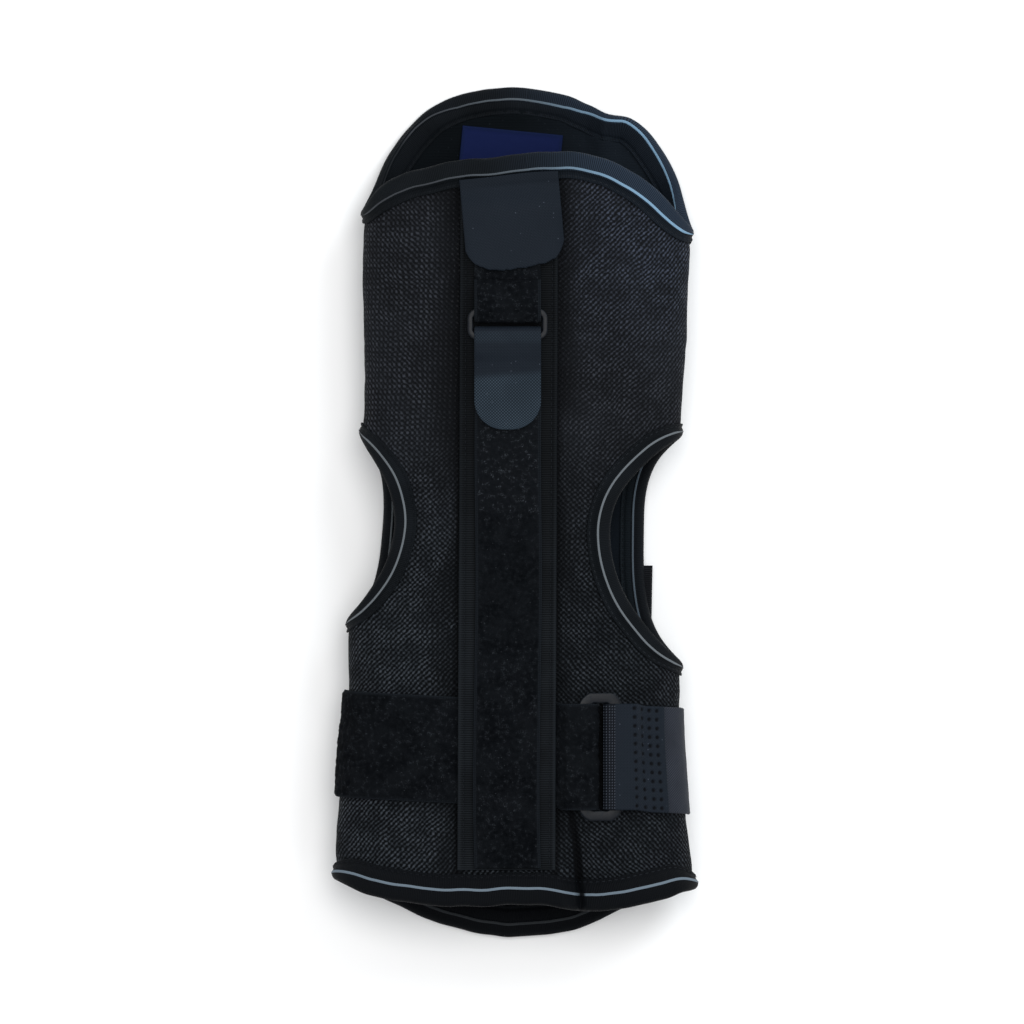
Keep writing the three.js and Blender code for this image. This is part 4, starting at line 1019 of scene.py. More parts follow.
def label_weave():
    material, tree, shader, read = new_finish("navy woven patch", 0.6, 0.04)
    weave = group_node(tree, FINE_WEAVE, Plan=read["plan"], Spacing=0.5)
    woven = colours(tree, weave["Height"], (0.0035, 0.007, 0.036), (0.0085, 0.0150, 0.068))
    paint(tree, shader, woven, (read["tone"], (0.005, 0.010, 0.040)))
    add_relief(tree, shader, weave["Height"], 0.12)
    return material


def sewing_thread(name, low, high):
    material, tree, shader, read = new_finish(name, 0.6, 0.06)
    twist = noise(tree, read["place"], 1800.0)
    # Painted light: the threads are painted paler towards the right, where light falls.
    to_right = map_range(tree, axes_of(tree, read["place"])["X"], 0.01, 0.045, 0.2, 1.0)
    paint(tree, shader, colours(tree, times(tree, twist, to_right), low, high))
    add_relief(tree, shader, twist, 0.08)
    return material


MESH_CLOTH = mesh_cloth()
LINING = lining_cloth()
EDGE_TAPE = tape_cloth()
STRIPE = stripe_cloth()
SLEEVE_WEBBING = webbing_cloth(
    "sleeve webbing", (0.0011, 0.0015, 0.0020), (0.0088, 0.0110, 0.0136), 1.1, "Y",
    (0.0100, 0.0122, 0.0150),
)
ELASTIC = elastic_cloth()
HEEL_WEBBING = webbing_cloth(
    "heel webbing", (0.0040, 0.0045, 0.0055), (0.020, 0.022, 0.026), 1.0, "X", (0.02, 0.02, 0.02)
)
LOOP_PILE = loop_pile()
HOOK_TAPE = hook_tape()
RING_PLASTIC = ring_plastic()
LABEL_WEAVE = label_weave()
THREAD = sewing_thread("sewing thread", (0.005, 0.006, 0.008), (0.024, 0.028, 0.034))
DARK_THREAD = sewing_thread("dark thread", (0.002, 0.003, 0.004), (0.006, 0.007, 0.009))
PALE_THREAD = sewing_thread("pale thread", (0.022, 0.027, 0.036), (0.052, 0.060, 0.076))


# Panels of the tube
PANEL_COLUMNS = 152
CALF_ROWS = 95
ANKLE_ROWS = 104
TOE_ROWS = 81
SEAM_DIP = 1.1
TAPE_EDGE_DIP = 0.45
SLEEVE_EDGE_DIP = 0.9
CLOTH_UNEVENNESS = 0.10


def front_shade(around, x, y, beside_sleeve):
    """Tone of the front cloth: painted shade beside the sleeve, in the crease and under the ring.
    """
    # Painted shade beside the sleeve, uneven in patches.
    matting_and_shade = 0.7 + 0.5 * np.tanh(uneven(x.shape, (9, 4), 7))
    left_reach = mix(15.0, 11.0, ease((y - 85.0) / 35.0))
    reach = np.where(x < sleeve_x(y), left_reach, 11.0)
    pressed_dots_and_shade = mix(0.45, 0.7, ease(y / 60.0)) * near(beside_sleeve, reach) * matting_and_shade
    tube = tube_section(y)
    creased = -fold_lift(CREASE_GROOVE, (x - tube["middle"]) / tube["reach"], y)
    # Painted shadow under the foot ring.
    shade_under_ring = ease((9.0 - np.abs(x - FOOT_RING_X)) / 3.0)
    shade_under_ring = shade_under_ring * ease((25.0 - np.abs(y - foot_strap_y(around))) / 2.0)
    shades = [near(beside_sleeve, 1.6), pressed_dots_and_shade, 1.2 * np.clip(creased / 1.2, 0, 1), 1.2 * shade_under_ring]
    return np.maximum.reduce(shades)


def panel(name, front):
    shares = np.linspace(0, 1, PANEL_COLUMNS)
    sign = 1 if front else -1
    turn = 2 * shares if front else 4 - 2 * shares
    calf_limit = ANKLE_TOP + ANKLE_TAPE_WIDTH
    toe_limit = RIGHT_ANKLE["bottom"] - ANKLE_TAPE_WIDTH

    def straight(y, bitten):
        play = np.full(np.shape(y), SEAM_PLAY)
        left = ankle_bite(LEFT_ANKLE, y, front) if bitten else play
        right = ankle_bite(RIGHT_ANKLE, y, front) if bitten else play
        start = beside_seam("left", sign * left, y)
        return (start if front else start + 4), beside_seam("right", sign * right, y)

    def end_rows(end, limit, parts):
        rim_around, rim_y = rim_place(end, turn, CLOTH_EDGE)
        y = mix(limit, rim_y[None, :], parts[:, None])
        start, stop = straight(y, False)
        around = mix(start, stop, shares[None, :])
        inner = (shares > 0) & (shares < 1)
        share = parts[:, None] * inner[None, :]
        return mix(around, rim_around[None, :], share), y

    calf = end_rows(CALF_END, calf_limit, np.linspace(1, 0, CALF_ROWS + 1)[:-1])
    toe = end_rows(TOE_END, toe_limit, np.linspace(0, 1, TOE_ROWS + 1)[1:])
    level = np.linspace(calf_limit, toe_limit, ANKLE_ROWS)
    start, stop = straight(level, True)
    ankle = mix(start[:, None], stop[:, None], shares), np.repeat(level[:, None], len(shares), 1)
    around = np.concatenate([calf[0], ankle[0], toe[0]])
    y = np.concatenate([calf[1], ankle[1], toe[1]])

    from_seam = seam_distance(around) * quarter_length(y, 0 if front else 3)
    out = -SEAM_DIP * near(from_seam, 2.6)
    tone = near(from_seam, 1.5)
    for end in (CALF_END, TOE_END):
        from_rim = np.abs(y - rim_height(end, around))
        out = out - TAPE_EDGE_DIP * near(from_rim - rim_tape_width(end, around), 3.0)
    if front:
        x = cloth(around, y, 0.0)[..., 0]
        beside_sleeve = np.abs(np.abs(x - sleeve_x(y)) - SLEEVE_WIDTH / 2)
        out = out - SLEEVE_EDGE_DIP * near(beside_sleeve, 2.4)
        # The front's tone adds painted shade beside the sleeve, in the crease and under the foot
        # ring.
        tone = np.maximum(tone, front_shade(around, x, y, beside_sleeve))
    out = out + CLOTH_UNEVENNESS * uneven(out.shape, 2.5, 5 if front else 6)
    middle = 1 if front else 3
    plan = np.stack([(around - middle) * quarter_length(y, 0 if front else 3), y], axis=-1)
    points = cloth(around, y, out)
    if not front:
        points, plan, tone = points[:, ::-1], plan[:, ::-1], tone[:, ::-1]
    part = grid_part(points[:, ::-1], plan[:, ::-1], tone=tone[:, ::-1])
    made = piece(name, [part], [MESH_CLOTH, LINING], [name.replace("padded_", "")], False)
    wall = made.modifiers.new("padding", "SOLIDIFY")
    wall.thickness = PANEL * MM
    wall.offset = -1.0
    wall.material_offset = 1
    wall.material_offset_rim = 1
    wall.use_even_offset = False
    return made


# Sleeve down the front and the heights of what lies on it
def sleeve_x(y):
    return mix(SLEEVE_TOE_X, SLEEVE_CALF_X, (y + HALF_LENGTH) / (2 * HALF_LENGTH))


def sleeve_calf_end(x):
    at = np.full(np.shape(x), (CALF_END["left"] + CALF_END["right"]) / 2)
    return rim_place(CALF_END, around_at(x, at), CALF_END["tape"] + SLEEVE_END_GAP)[1]


def foot_strap_y(around):
    turn = np.mod(around, 4)
    front = mix(FOOT_STRAP_LEFT_Y, FOOT_STRAP_RIGHT_Y, turn / 2)
    back = mix(FOOT_STRAP_RIGHT_Y, FOOT_STRAP_LEFT_Y, (turn - 2) / 2)
    return np.where(turn <= 2, front, back)


STRAP_MIDDLE_Y = float(foot_strap_y(1.0))


def strap_lift(y):
    off = np.abs(y - STRAP_MIDDLE_Y) - FOOT_STRAP_WIDTH / 2 - STRAP_LIFT_MARGIN
    return (PILE + GAP) * (1 - ease(off / STRAP_LIFT_RAMP))


def sleeve_thickness(x, y):
    from_end = np.minimum(y - SLEEVE_TOE_END, sleeve_calf_end(x) - y)
    return mix(TAPE, SLEEVE, ease(from_end / SLEEVE_THINNING))


def sleeve_base(x, y):
    return front_height(x, y) + GAP + strap_lift(y)


def sleeve_height(x, y):
    return sleeve_base(x, y) + sleeve_thickness(x, y)


def front_panel():
    return panel("padded_front_panel", True)


def back_panel():
    return panel("padded_back_panel", False)


# Edge tapes. Section of one face of a folded tape: what the distance in starts from, the rest
# of it, the height over the cloth, and 1 where the stripe's material starts
TAPE_FACE = [
    ("width", 0.0, 0.05, 0), ("width", 0.0, 0.55, 0), ("width", -0.18, 0.76, 0),
    ("width", -0.8, 0.8, 0), ("width", -1.3, 0.55, 0), ("width", -1.7, 0.5, 0),
    ("width", -2.1, 0.62, 0), ("width", -2.7, 1.05, 0), ("width", -3.5, 1.32, 0),
    ("stripe", 1.6, 1.45, 0), ("stripe", 0.72, 1.5, 0), ("stripe", 0.62, 1.62, 1),
    ("stripe", 0.3, 1.68, 1), ("stripe", -0.3, 1.68, 1), ("stripe", -0.62, 1.62, 0),
    ("stripe", -0.72, 1.5, 0), ("stripe", -1.2, 1.46, 0), ("fold", 2.8, 1.44, 0),
    ("fold", 2.1, 1.36, 0), ("fold", 1.5, 1.12, 0), ("fold", 0.9, 0.7, 0),
    ("fold", 0.35, 0.05, 0), ("fold", 0.08, -0.8, 0),
]
TAPE_STARTS, TAPE_MORE, TAPE_HEIGHTS, TAPE_LANES = zip(*TAPE_FACE)
SEWN_ROW = 4
STRIPE_ROW = 12
STITCH_SPACING = 3.1


def tape_face(widths, stripe, broad):
    """Distances in from the fold, one row for each place of the section."""
    starts = {"width": widths, "stripe": stripe * widths, "fold": 0 * widths}
    rows = [
        starts[kind] + more * (broad if kind == "stripe" and abs(more) < 1 else 1)
        for kind, more in zip(TAPE_STARTS, TAPE_MORE)
    ]
    return np.minimum.accumulate(rows)


def along_line(places, lengths, line):
    """Points at given lengths along a line of points."""
    return np.stack([np.interp(places, lengths, line[:, k]) for k in range(3)], -1)


def edge_tape(name, node, place, widths, stripes, seed, broad=1.0, shade=0.0, inside=0.0):
    """A folded tape: place gives a point of the cloth from the distance in and the height.
    Stripes are shares of the width outside and inside, broad their own width and shade 1 where
    the tape is painted dark as shade in a crease. Inside is the tone of its face in the tube, a
    painted lightening of that face, which lies in shade: 2 makes it as pale as the lining."""
    outer, inner = [tape_face(widths, stripe, broad) for stripe in stripes]
    inner = inner[::-1]
    heights = np.array(TAPE_HEIGHTS)
    hidden = np.array([0.5 * widths, 0 * widths + 1.7, 0 * widths + 1.7, 0.5 * widths])
    distances = np.concatenate([outer, 0 * outer[:1], inner, hidden])
    outs = np.concatenate([
        heights, [-PANEL / 2], -PANEL - heights[::-1], [-PANEL - 0.05, -PANEL + 0.1, -0.1, 0.05]
    ])
    lanes = TAPE_LANES + (0,) + TAPE_LANES[-2::-1] + (0,) * 5
    near_fold = np.array([
        float(kind == "fold" or kind == "stripe" and more < 1)
        for kind, more in zip(TAPE_STARTS, TAPE_MORE)
    ])
    within = np.where(near_fold[::-1] > 0, 1.0, inside)
    rows_tone = np.concatenate([near_fold, [1], within, [0] * 5])

    slack = uneven((len(widths),), 5.0, seed)
    pucker = uneven((len(widths),), 1.2, seed + 1)
    columns = []
    for distance, out in zip(distances, outs):
        sewn = np.clip((distance / widths - 0.35) / 0.5, 0, 1)
        wave = 0.10 * pucker * sewn + 0.14 * slack * (1 - sewn)
        lifted = out + (wave if out > 0.2 else -wave if out < -PANEL - 0.2 else 0 * wave)
        columns.append(place(distance + 0.18 * slack, lifted))
    columns.append(columns[0])
    points = np.stack(columns, axis=1)
    points = np.concatenate([points, points[:1]])
    run = run_lengths(points[:, STRIPE_ROW:STRIPE_ROW + 1], 0).repeat(points.shape[1], 1)
    plan = np.stack([run_lengths(points, 1), run], -1)
    # Painted shade: in a crease the tone drops, which paints the tape dark.
    shades = np.resize(np.append(np.broadcast_to(shade, len(widths)), 0.0), len(points))
    shades[-1] = shades[0]
    parts = [grid_part(points, plan, lanes, rows_tone[None, :] * (1 - shades[:, None]))]
    along = run_lengths(points[:, SEWN_ROW:SEWN_ROW + 1], 0)[:, 0]
    wanted = np.arange(0, along[-1] - STITCH_SPACING / 2, STITCH_SPACING)
    for column, thread in ((SEWN_ROW, 2), (2 * len(TAPE_FACE) - SEWN_ROW, 3)):
        line = points[:, column]
        at = along_line(wanted, along, line)
        runs = along_line(wanted + 1.2, along, line) - at
        across = along_line(wanted, along, points[:, column + 1] - points[:, column - 1])
        parts.append(stitch_part(at, runs, np.cross(across, runs), material=thread))
    return piece(name, parts, [EDGE_TAPE, STRIPE, THREAD, DARK_THREAD], [node])


def rim_tape(name, node, end, seed):
    arounds = np.linspace(0, 4, 561)[:-1]
    widths = rim_tape_width(end, arounds)
    y = rim_height(end, arounds)
    across = oval_place(y, angle_of(arounds, y))[0]
    inner = np.interp(across, STRIPE_SIDES, end["inner_stripe"]) / end["tape"]
    broad = np.interp(across, [-0.6, 0.5], end["broad"])
    # Painted shade in the crease, on the front half of the rim.
    creased = np.where(arounds < 2, -fold_lift(CREASE_GROOVE, across, y) / 1.4, 0.0)

    def place(distance, out):
        around, y = rim_place(end, arounds, distance)
        return cloth(around, y, out)

    stripes = (OUTER_STRIPE / end["tape"], inner)
    return edge_tape(name, node, place, widths, stripes, seed, broad, np.clip(creased, 0, 1))


def ankle_tape(name, node, ankle, inner, seed, inside=0.0):
    angles = np.linspace(0, math.tau, 241)[:-1]
    widths = tape_width(ANKLE_TAPE_WIDTH, np.abs(ankle_outline(ankle, angles, 0.0)[0]))

    def place(distance, out):
        s, y = ankle_outline(ankle, angles, distance)
        return cloth(beside_seam(ankle["side"], s, y), y, out)

    stripes = (ANKLE_STRIPE_SHARE, inner)
    return edge_tape(name, node, place, widths, stripes, seed, 0.8, inside=inside)


# Webbing sleeve
def stay_sleeve():
    rib_spacing, length = 1.1, 330.0
    half = 1 - np.array(SLEEVE_COLUMNS) / (SLEEVE_WIDTH / 2)
    shares = np.concatenate([-half, half[::-1]])
    along = spaced(length, rib_spacing / 4, 1.0) / length
    end_x = sleeve_x(SLEEVE_CALF_Y) + shares * SLEEVE_WIDTH / 2
    y = mix(SLEEVE_TOE_END, sleeve_calf_end(end_x)[None, :], along[:, None])
    x = sleeve_x(y) + shares[None, :] * SLEEVE_WIDTH / 2
    thick = sleeve_thickness(x, y)
    middle = np.stack([x, y, sleeve_base(x, y) + thick / 2], -1)
    from_edge = SLEEVE_WIDTH / 2 * (1 - np.abs(shares))
    smooth_edge = 1 - ease((from_edge - 2.6) / 0.8)[None, :]
    ribs = (0.13 * np.abs(np.sin(np.pi * y / rib_spacing)) - 0.06) * (1 - smooth_edge)
    ribs = ribs - 0.35 * near(from_edge - SLEEVE_STITCH_LINE, 0.6)[None, :]
    piping = near(from_edge - 0.7, 0.7)[None, :] + 0 * y
    parts = band_parts(middle, thick, facing(middle), ribs, piping)
    for side in (-1, 1):
        rows = np.arange(SLEEVE_TOE_END + 4, 152, 3.0)
        at_x = sleeve_x(rows) + side * (SLEEVE_WIDTH / 2 - SLEEVE_STITCH_LINE)
        at = np.stack([at_x, rows, sleeve_height(at_x, rows) - 0.12], -1)
        run = np.tile([0.02, 1.0, 0.0], (len(rows), 1))
        up = np.tile([0.0, 0.0, 1.0], (len(rows), 1))
        parts.append(stitch_part(at, run, up, 2.1, 0.5, 0.4, 1))
    return piece(
        "stay_sleeve_webbing", parts, [SLEEVE_WEBBING, THREAD], ["stay_sleeve"]
    )


# Straps, tabs and rings at the pull ring
RING_CORNER = 5.2
WINDOW_CORNER = 1.6
PULL_WINDOW_PLAY = 1.2
PULL_SIDE_BARS = 5.2
FOOT_WINDOW_PLAY = 0.5
FOOT_END_BARS = 9.9
BAR_BOTTOM = GAP + PILE + GAP
BAR_MIDDLE = BAR_BOTTOM + BAR_THICKNESS / 2
PULL_RING_INNER = PULL_RING_HEIGHT / 2 - PULL_BAR
PULL_RING_REACH = PULL_RING_HEIGHT / 2 + FOLDED_LEG
PULL_RING_BASE = float(sleeve_height(np.array(PULL_X), np.array(PULL_RING_Y + PULL_RING_REACH)))


def leg_height(thickness):
    return BAR_BOTTOM - GAP - thickness / 2


def turn_radius(thickness):
    return BAR_THICKNESS / 2 + GAP + thickness / 2


def over_bar(thickness):
    return BAR_MIDDLE + turn_radius(thickness)


def turn_round(run, thickness, side):
    """Half a turn of a band round a bar, from under it to over it."""
    radius = turn_radius(thickness)
    angles = np.linspace(-math.pi / 2, math.pi / 2, 13)
    return [(run + side * radius * math.cos(a), BAR_MIDDLE + radius * math.sin(a)) for a in angles]


def descent(start, high, low, side):
    return [
        (side * (start + share * STRAP_DESCENT), mix(high, low, float(ease(0.15 + 0.85 * share))))
        for share in (0.06, 0.35, 0.65, 1)
    ]


def ring_place(x, y, height):
    level = 1 - ease((np.abs(y - PULL_RING_Y) - PULL_RING_REACH) / STRAP_DESCENT)
    base = mix(sleeve_height(x, y), PULL_RING_BASE, level)
    return np.stack([x, y, base + height], -1)


def pile_face(across, seed, selvedge=1.3):
    """Relief of the loops between two smooth woven edges, and the mask of those edges."""
    from_edge = np.minimum(across, across[:, -1:] - across)
    edge = 1 - ease((from_edge - selvedge) / 0.5)
    loops = 0.16 * uneven(across.shape, 0.9, seed) + 0.12 * uneven(across.shape, 5.0, seed + 50)
    return mix(loops, np.full(across.shape, -0.45), edge), edge


def lower_pull_strap():
    end = PULL_RING_Y - PULL_RING_HEIGHT / 2 - FOLDED_LEG
    across = spaced(PULL_WIDTH, 0.5, 1.1) - PULL_WIDTH / 2
    y = (spaced(end - PULL_TOE_END, 0.5, 1.1) + PULL_TOE_END)[:, None] + 0 * across[None, :]
    sway = 0.35 * uneven((y.shape[0], 1), 60.0, 31)
    x = PULL_X + across[None, :] + sway
    middle = np.stack([x, y, sleeve_height(x, y) + GAP + PILE / 2], -1)
    relief, edge = pile_face(run_lengths(middle, 1), 11)
    parts = band_parts(middle, PILE, facing(middle), relief, edge)
    return piece("lower_pull_strap_pile", parts, [LOOP_PILE], ["lower_pull_strap"])


def upper_pull_strap():
    top = PULL_TOP_END - PULL_RING_Y
    on_sleeve = GAP + PILE / 2
    on_strap = on_sleeve + PILE + 0.2
    path = [(21.5, on_strap), (18.0, on_strap + 0.1), (14.0, on_strap + 0.9)]
    path += [(PULL_RING_HEIGHT / 2, over_bar(PILE))]
    path += turn_round(PULL_RING_INNER, PILE, -1)[::-1]
    path += [(PULL_RING_HEIGHT / 2, leg_height(PILE)), (PULL_RING_REACH + 3, leg_height(PILE))]
    path += [(PULL_RING_REACH + 9, on_sleeve), ((top + 24) / 2, on_sleeve), (top, on_sleeve)]
    path = np.array(path)
    across = spaced(PULL_WIDTH, 0.6, 1.1) - PULL_WIDTH / 2
    x = PULL_X + across[None, :] + 0 * path[:, :1]
    control = ring_place(x, PULL_RING_Y + path[:, :1] + 0 * x, path[:, 1:] + 0 * x)
    middle = dense_rows(control, spaced(control_length(control), 0.6, 1.1))
    relief, edge = pile_face(run_lengths(middle, 1), 12)
    normals = facing(middle, 0.02)
    along = run_lengths(middle, 0)[:, :1]
    loops_out = np.where(along < along[-1] * 0.35, 1.0, 0.0)
    parts = band_parts(middle, PILE, normals, relief * loops_out, edge)
    return piece("upper_pull_strap_pile", parts, [LOOP_PILE], ["upper_pull_strap"])


def tab_half_width(width, corner, from_end):
    reach = np.clip(corner - from_end, 0, corner)
    return width / 2 - corner + np.sqrt(corner**2 - reach**2)


def pull_hook_tab():
    on_strap = GAP + PILE + GAP + HOOK / 2
    low_bar = -PULL_RING_HEIGHT / 2
    path = [(GAP - PULL_RING_REACH, leg_height(HOOK)), (low_bar, leg_height(HOOK))]
    path += turn_round(-PULL_RING_INNER, HOOK, 1)
    path += [(low_bar, over_bar(HOOK))]
    drop = over_bar(HOOK) - on_strap
    path += [(-11.5, on_strap + 0.80 * drop), (-17.0, on_strap + 0.42 * drop)]
    path += [(-23.0, on_strap + 0.12 * drop), (-29.0, on_strap)]
    path += [(run, on_strap) for run in np.linspace(-33, -PULL_TAB_LENGTH, 6)]
    path = np.array(path)
    lengths = run_lengths(path[:, None], 0)[:, 0]
    at = spaced(lengths[-1], 0.55, 0.8)
    run = read_table(lengths, path[:, 0], at)
    height = read_table(lengths, path[:, 1], at)
    from_end = np.where(at > lengths[-1] / 2, lengths[-1] - at, 99.0)
    half = tab_half_width(PULL_WIDTH, 14.0, from_end)
    shares = spaced(PULL_WIDTH, 0.7, 0.8) / PULL_WIDTH * 2 - 1
    x = PULL_X + half[:, None] * shares[None, :]
    y = PULL_RING_Y + run[:, None] + 0 * x
    middle = ring_place(x, y, height[:, None] + 0 * x)
    rough = ease((69.0 - y + 0.08 * (x - PULL_X)) / 7.0)
    # Painted highlight: where the tab bends over the ring's bar, a tone of 0.4 paints it in the
    # paler coarse weave.
    bend_highlight = 0.4 * ease((run[:, None] + 11.0) / 4.0) * ease((-3.0 - run[:, None]) / 1.0)
    relief = 0.03 * uneven(x.shape, 2.0, 13)
    parts = band_parts(middle, HOOK, facing(middle, 0.8), relief, np.maximum(rough, bend_highlight + 0 * x))
    return piece("pull_hook_tab_cloth", parts, [HOOK_TAPE], ["pull_hook_tab"])


# Length of the lock tab at each place across it, with its cut corners
LOCK_TAB_ENDS = np.array([
    [-23.75, 31.0], [-22.6, 33.6], [-19.6, 37.4], [-13.5, 40.6], [-6.0, 41.4], [6.0, 40.8],
    [14.0, 39.6], [19.0, 37.4], [22.0, 34.4], [23.75, 29.5],
])


def lock_hook_tab():
    start_x = float(sleeve_x(SLEEVE_CALF_Y))
    start_y = float(sleeve_calf_end(np.array(start_x)))
    length = LOCK_TAB_LENGTH + LOCK_TAB_SEWN
    c, s = math.cos(LOCK_TAB_LEAN), math.sin(LOCK_TAB_LEAN)
    shares = spaced(LOCK_TAB_WIDTH, 0.7, 0.8) / LOCK_TAB_WIDTH * 2 - 1
    drops = spaced(length, 0.6, 0.8) / length
    across = shares[None, :] * LOCK_TAB_WIDTH / 2 + 0 * drops[:, None]
    lengths = np.interp(across[0], LOCK_TAB_ENDS[:, 0], LOCK_TAB_ENDS[:, 1])
    frayed = 0.18 * uneven(lengths.shape, 0.8, 23)
    down = drops[:, None] * (lengths + frayed + LOCK_TAB_SEWN)[None, :] - LOCK_TAB_SEWN
    x = start_x + across * c + down * s
    square = start_y - down * c + across * s
    y = mix(square, sleeve_calf_end(x) - down, 1 - ease(down / 12.0))
    raised = ease((start_y - y) / (start_y - PULL_TOP_END - 3.0)) * (GAP + PILE)
    curl = 0.5 * ease((down - 26) / 15)
    over_tape = 0.5 * ease((1.5 - down) / 3.0)
    base = sleeve_height(x, y) + GAP + raised + over_tape
    middle = np.stack([x, y, base + HOOK / 2 + curl], -1)
    # Painted shade: the tab's top end, under the tape, is painted darker.
    shade_under_tape = -0.25 * ease((5.0 - down) / 8.0)
    parts = band_parts(middle, HOOK, facing(middle), 0.04 * uneven(x.shape, 3.0, 14), shade_under_tape)
    return piece("lock_hook_tab_cloth", parts, [HOOK_TAPE], ["lock_hook_tab"])


def rounded_outline(width, height, corner, slant=0.0):
    """Matching places round a rectangle with rounded corners, straightened where slant is 1."""
    places = []
    for k, (sx, sy) in enumerate(((1, 1), (-1, 1), (-1, -1), (1, -1))):
        centre = np.array((sx * (width / 2 - corner), sy * (height / 2 - corner)))
        turns = np.linspace(0, math.pi / 2, 12) + k * math.pi / 2
        arc = centre + corner * np.stack([np.cos(turns), np.sin(turns)], -1)
        chord = mix(arc[0], arc[-1], np.linspace(0, 1, 12)[:, None])
        places.extend(mix(arc, chord, slant))
    return np.array(places)


def ring(name, node, outer, window, slant, round_off, centre, tilt):
    """A moulded ring with rounded bars, lying level or tilted sideways."""
    outside = rounded_outline(*outer, RING_CORNER, slant)
    inside = rounded_outline(*window, WINDOW_CORNER)
    turns = np.linspace(0, math.tau, 21)
    c, s = np.cos(turns), np.sin(turns)
    share = 0.5 - 0.5 * np.sign(c) * np.abs(c) ** round_off
    lift = BAR_THICKNESS / 2 * (1 + np.sign(s) * np.abs(s) ** round_off)
    flat = mix(outside[:, None, :], inside[:, None, :], share[None, :, None])
    flat = np.concatenate([flat, flat[:1]])
    height = np.broadcast_to(lift, flat.shape[:2])
    x = centre[0] + flat[..., 0] * math.cos(tilt) + height * math.sin(tilt)
    z = centre[2] - flat[..., 0] * math.sin(tilt) + height * math.cos(tilt)
    points = np.stack([x, centre[1] + flat[..., 1], z], -1)
    plan = np.stack([run_lengths(points, 1), run_lengths(points, 0)], -1)
    return piece(name, [grid_part(points, plan)], [RING_PLASTIC], [node])


def pull_ring():
    window = PULL_WIDTH + PULL_WINDOW_PLAY
    return ring(
        "pull_ring_moulding", "pull_ring", (window + PULL_SIDE_BARS, PULL_RING_HEIGHT),
        (window, 2 * PULL_RING_INNER), 0.0, 0.4,
        (PULL_X, PULL_RING_Y, PULL_RING_BASE + BAR_BOTTOM), 0.0,
    )


# Foot strap, its ring and tab
def near_y(x):
    return foot_strap_y(around_at(np.array(x), np.array(FOOT_STRAP_RIGHT_Y)))


FOOT_RING_Y = float(near_y(FOOT_RING_X))
FOOT_RING_AROUND = float(around_at(np.array(FOOT_RING_X), np.array(FOOT_RING_Y)))
FOOT_SEAT = cloth(FOOT_RING_AROUND, FOOT_RING_Y, 0.0)
FOOT_OUT = cloth(FOOT_RING_AROUND, FOOT_RING_Y, 1.0) - FOOT_SEAT
FOOT_TILT = math.atan2(FOOT_OUT[0], FOOT_OUT[2])
FOOT_BAR_INNER = FOOT_RING_WIDTH / 2 - FOOT_RING_BAR


def near_foot_ring(run, height):
    x = FOOT_SEAT[0] + run * math.cos(FOOT_TILT) + height * math.sin(FOOT_TILT)
    return x, FOOT_SEAT[2] - run * math.sin(FOOT_TILT) + height * math.cos(FOOT_TILT)


def foot_band(near, turns, out, spacing):
    """Middle surface of a band round the foot: first by the ring, then along the tube."""
    across = spaced(FOOT_STRAP_WIDTH, spacing, 1.1) - FOOT_STRAP_WIDTH / 2
    rows = []
    for run, height in near:
        x, z = near_foot_ring(run, height)
        y = float(foot_strap_y(FOOT_RING_AROUND)) + across
        rows.append(np.stack([x + 0 * y, y, z + 0 * y], -1))
    for around in turns:
        y = float(foot_strap_y(around)) + across
        rows.append(cloth(around, y, out))
    control = np.array(rows)
    return dense_rows(control, spaced(control_length(control), spacing, 1.1))


def foot_loop_strap():
    bar = -FOOT_RING_WIDTH / 2
    on_cloth = GAP + PILE / 2
    near = [(bar - FOLDED_LEG, leg_height(PILE))]
    near += turn_round(-FOOT_BAR_INNER, PILE, 1)
    near += [(bar, over_bar(PILE))]
    near += descent(-bar + FOLDED_LEG, over_bar(PILE), on_cloth, -1)[:2]
    reach = FOOT_RING_WIDTH / 2 + FOLDED_LEG + STRAP_DESCENT
    start = float(around_at(np.array(FOOT_RING_X - reach), np.array(FOOT_RING_Y)))
    turns = np.linspace(start, FOOT_JOIN - 4, 46)
    middle = foot_band(near, np.mod(turns, 4), on_cloth, 0.62)
    relief, edge = pile_face(run_lengths(middle, 1), 15, 0.8)
    parts = band_parts(middle, PILE, facing(middle, 0.3), relief, edge)
    return piece("foot_loop_strap_pile", parts, [LOOP_PILE], ["foot_loop_strap"])


def foot_webbing():
    start = float(around_at(np.array(FOOT_RING_X + 23.0), np.array(FOOT_RING_Y)))
    turns = np.linspace(start, FOOT_JOIN - 0.006, 36)
    middle = foot_band([], turns, GAP + HOOK / 2, 0.7)
    ribs = 0.04 * np.abs(np.sin(np.pi * run_lengths(middle, 1) / 1.9))
    relief = ribs + 0.03 * uneven(ribs.shape, 2.0, 16)
    parts = band_parts(middle, HOOK, facing(middle, 0.0), relief)
    return piece("foot_elastic_webbing", parts, [ELASTIC], ["foot_webbing"])


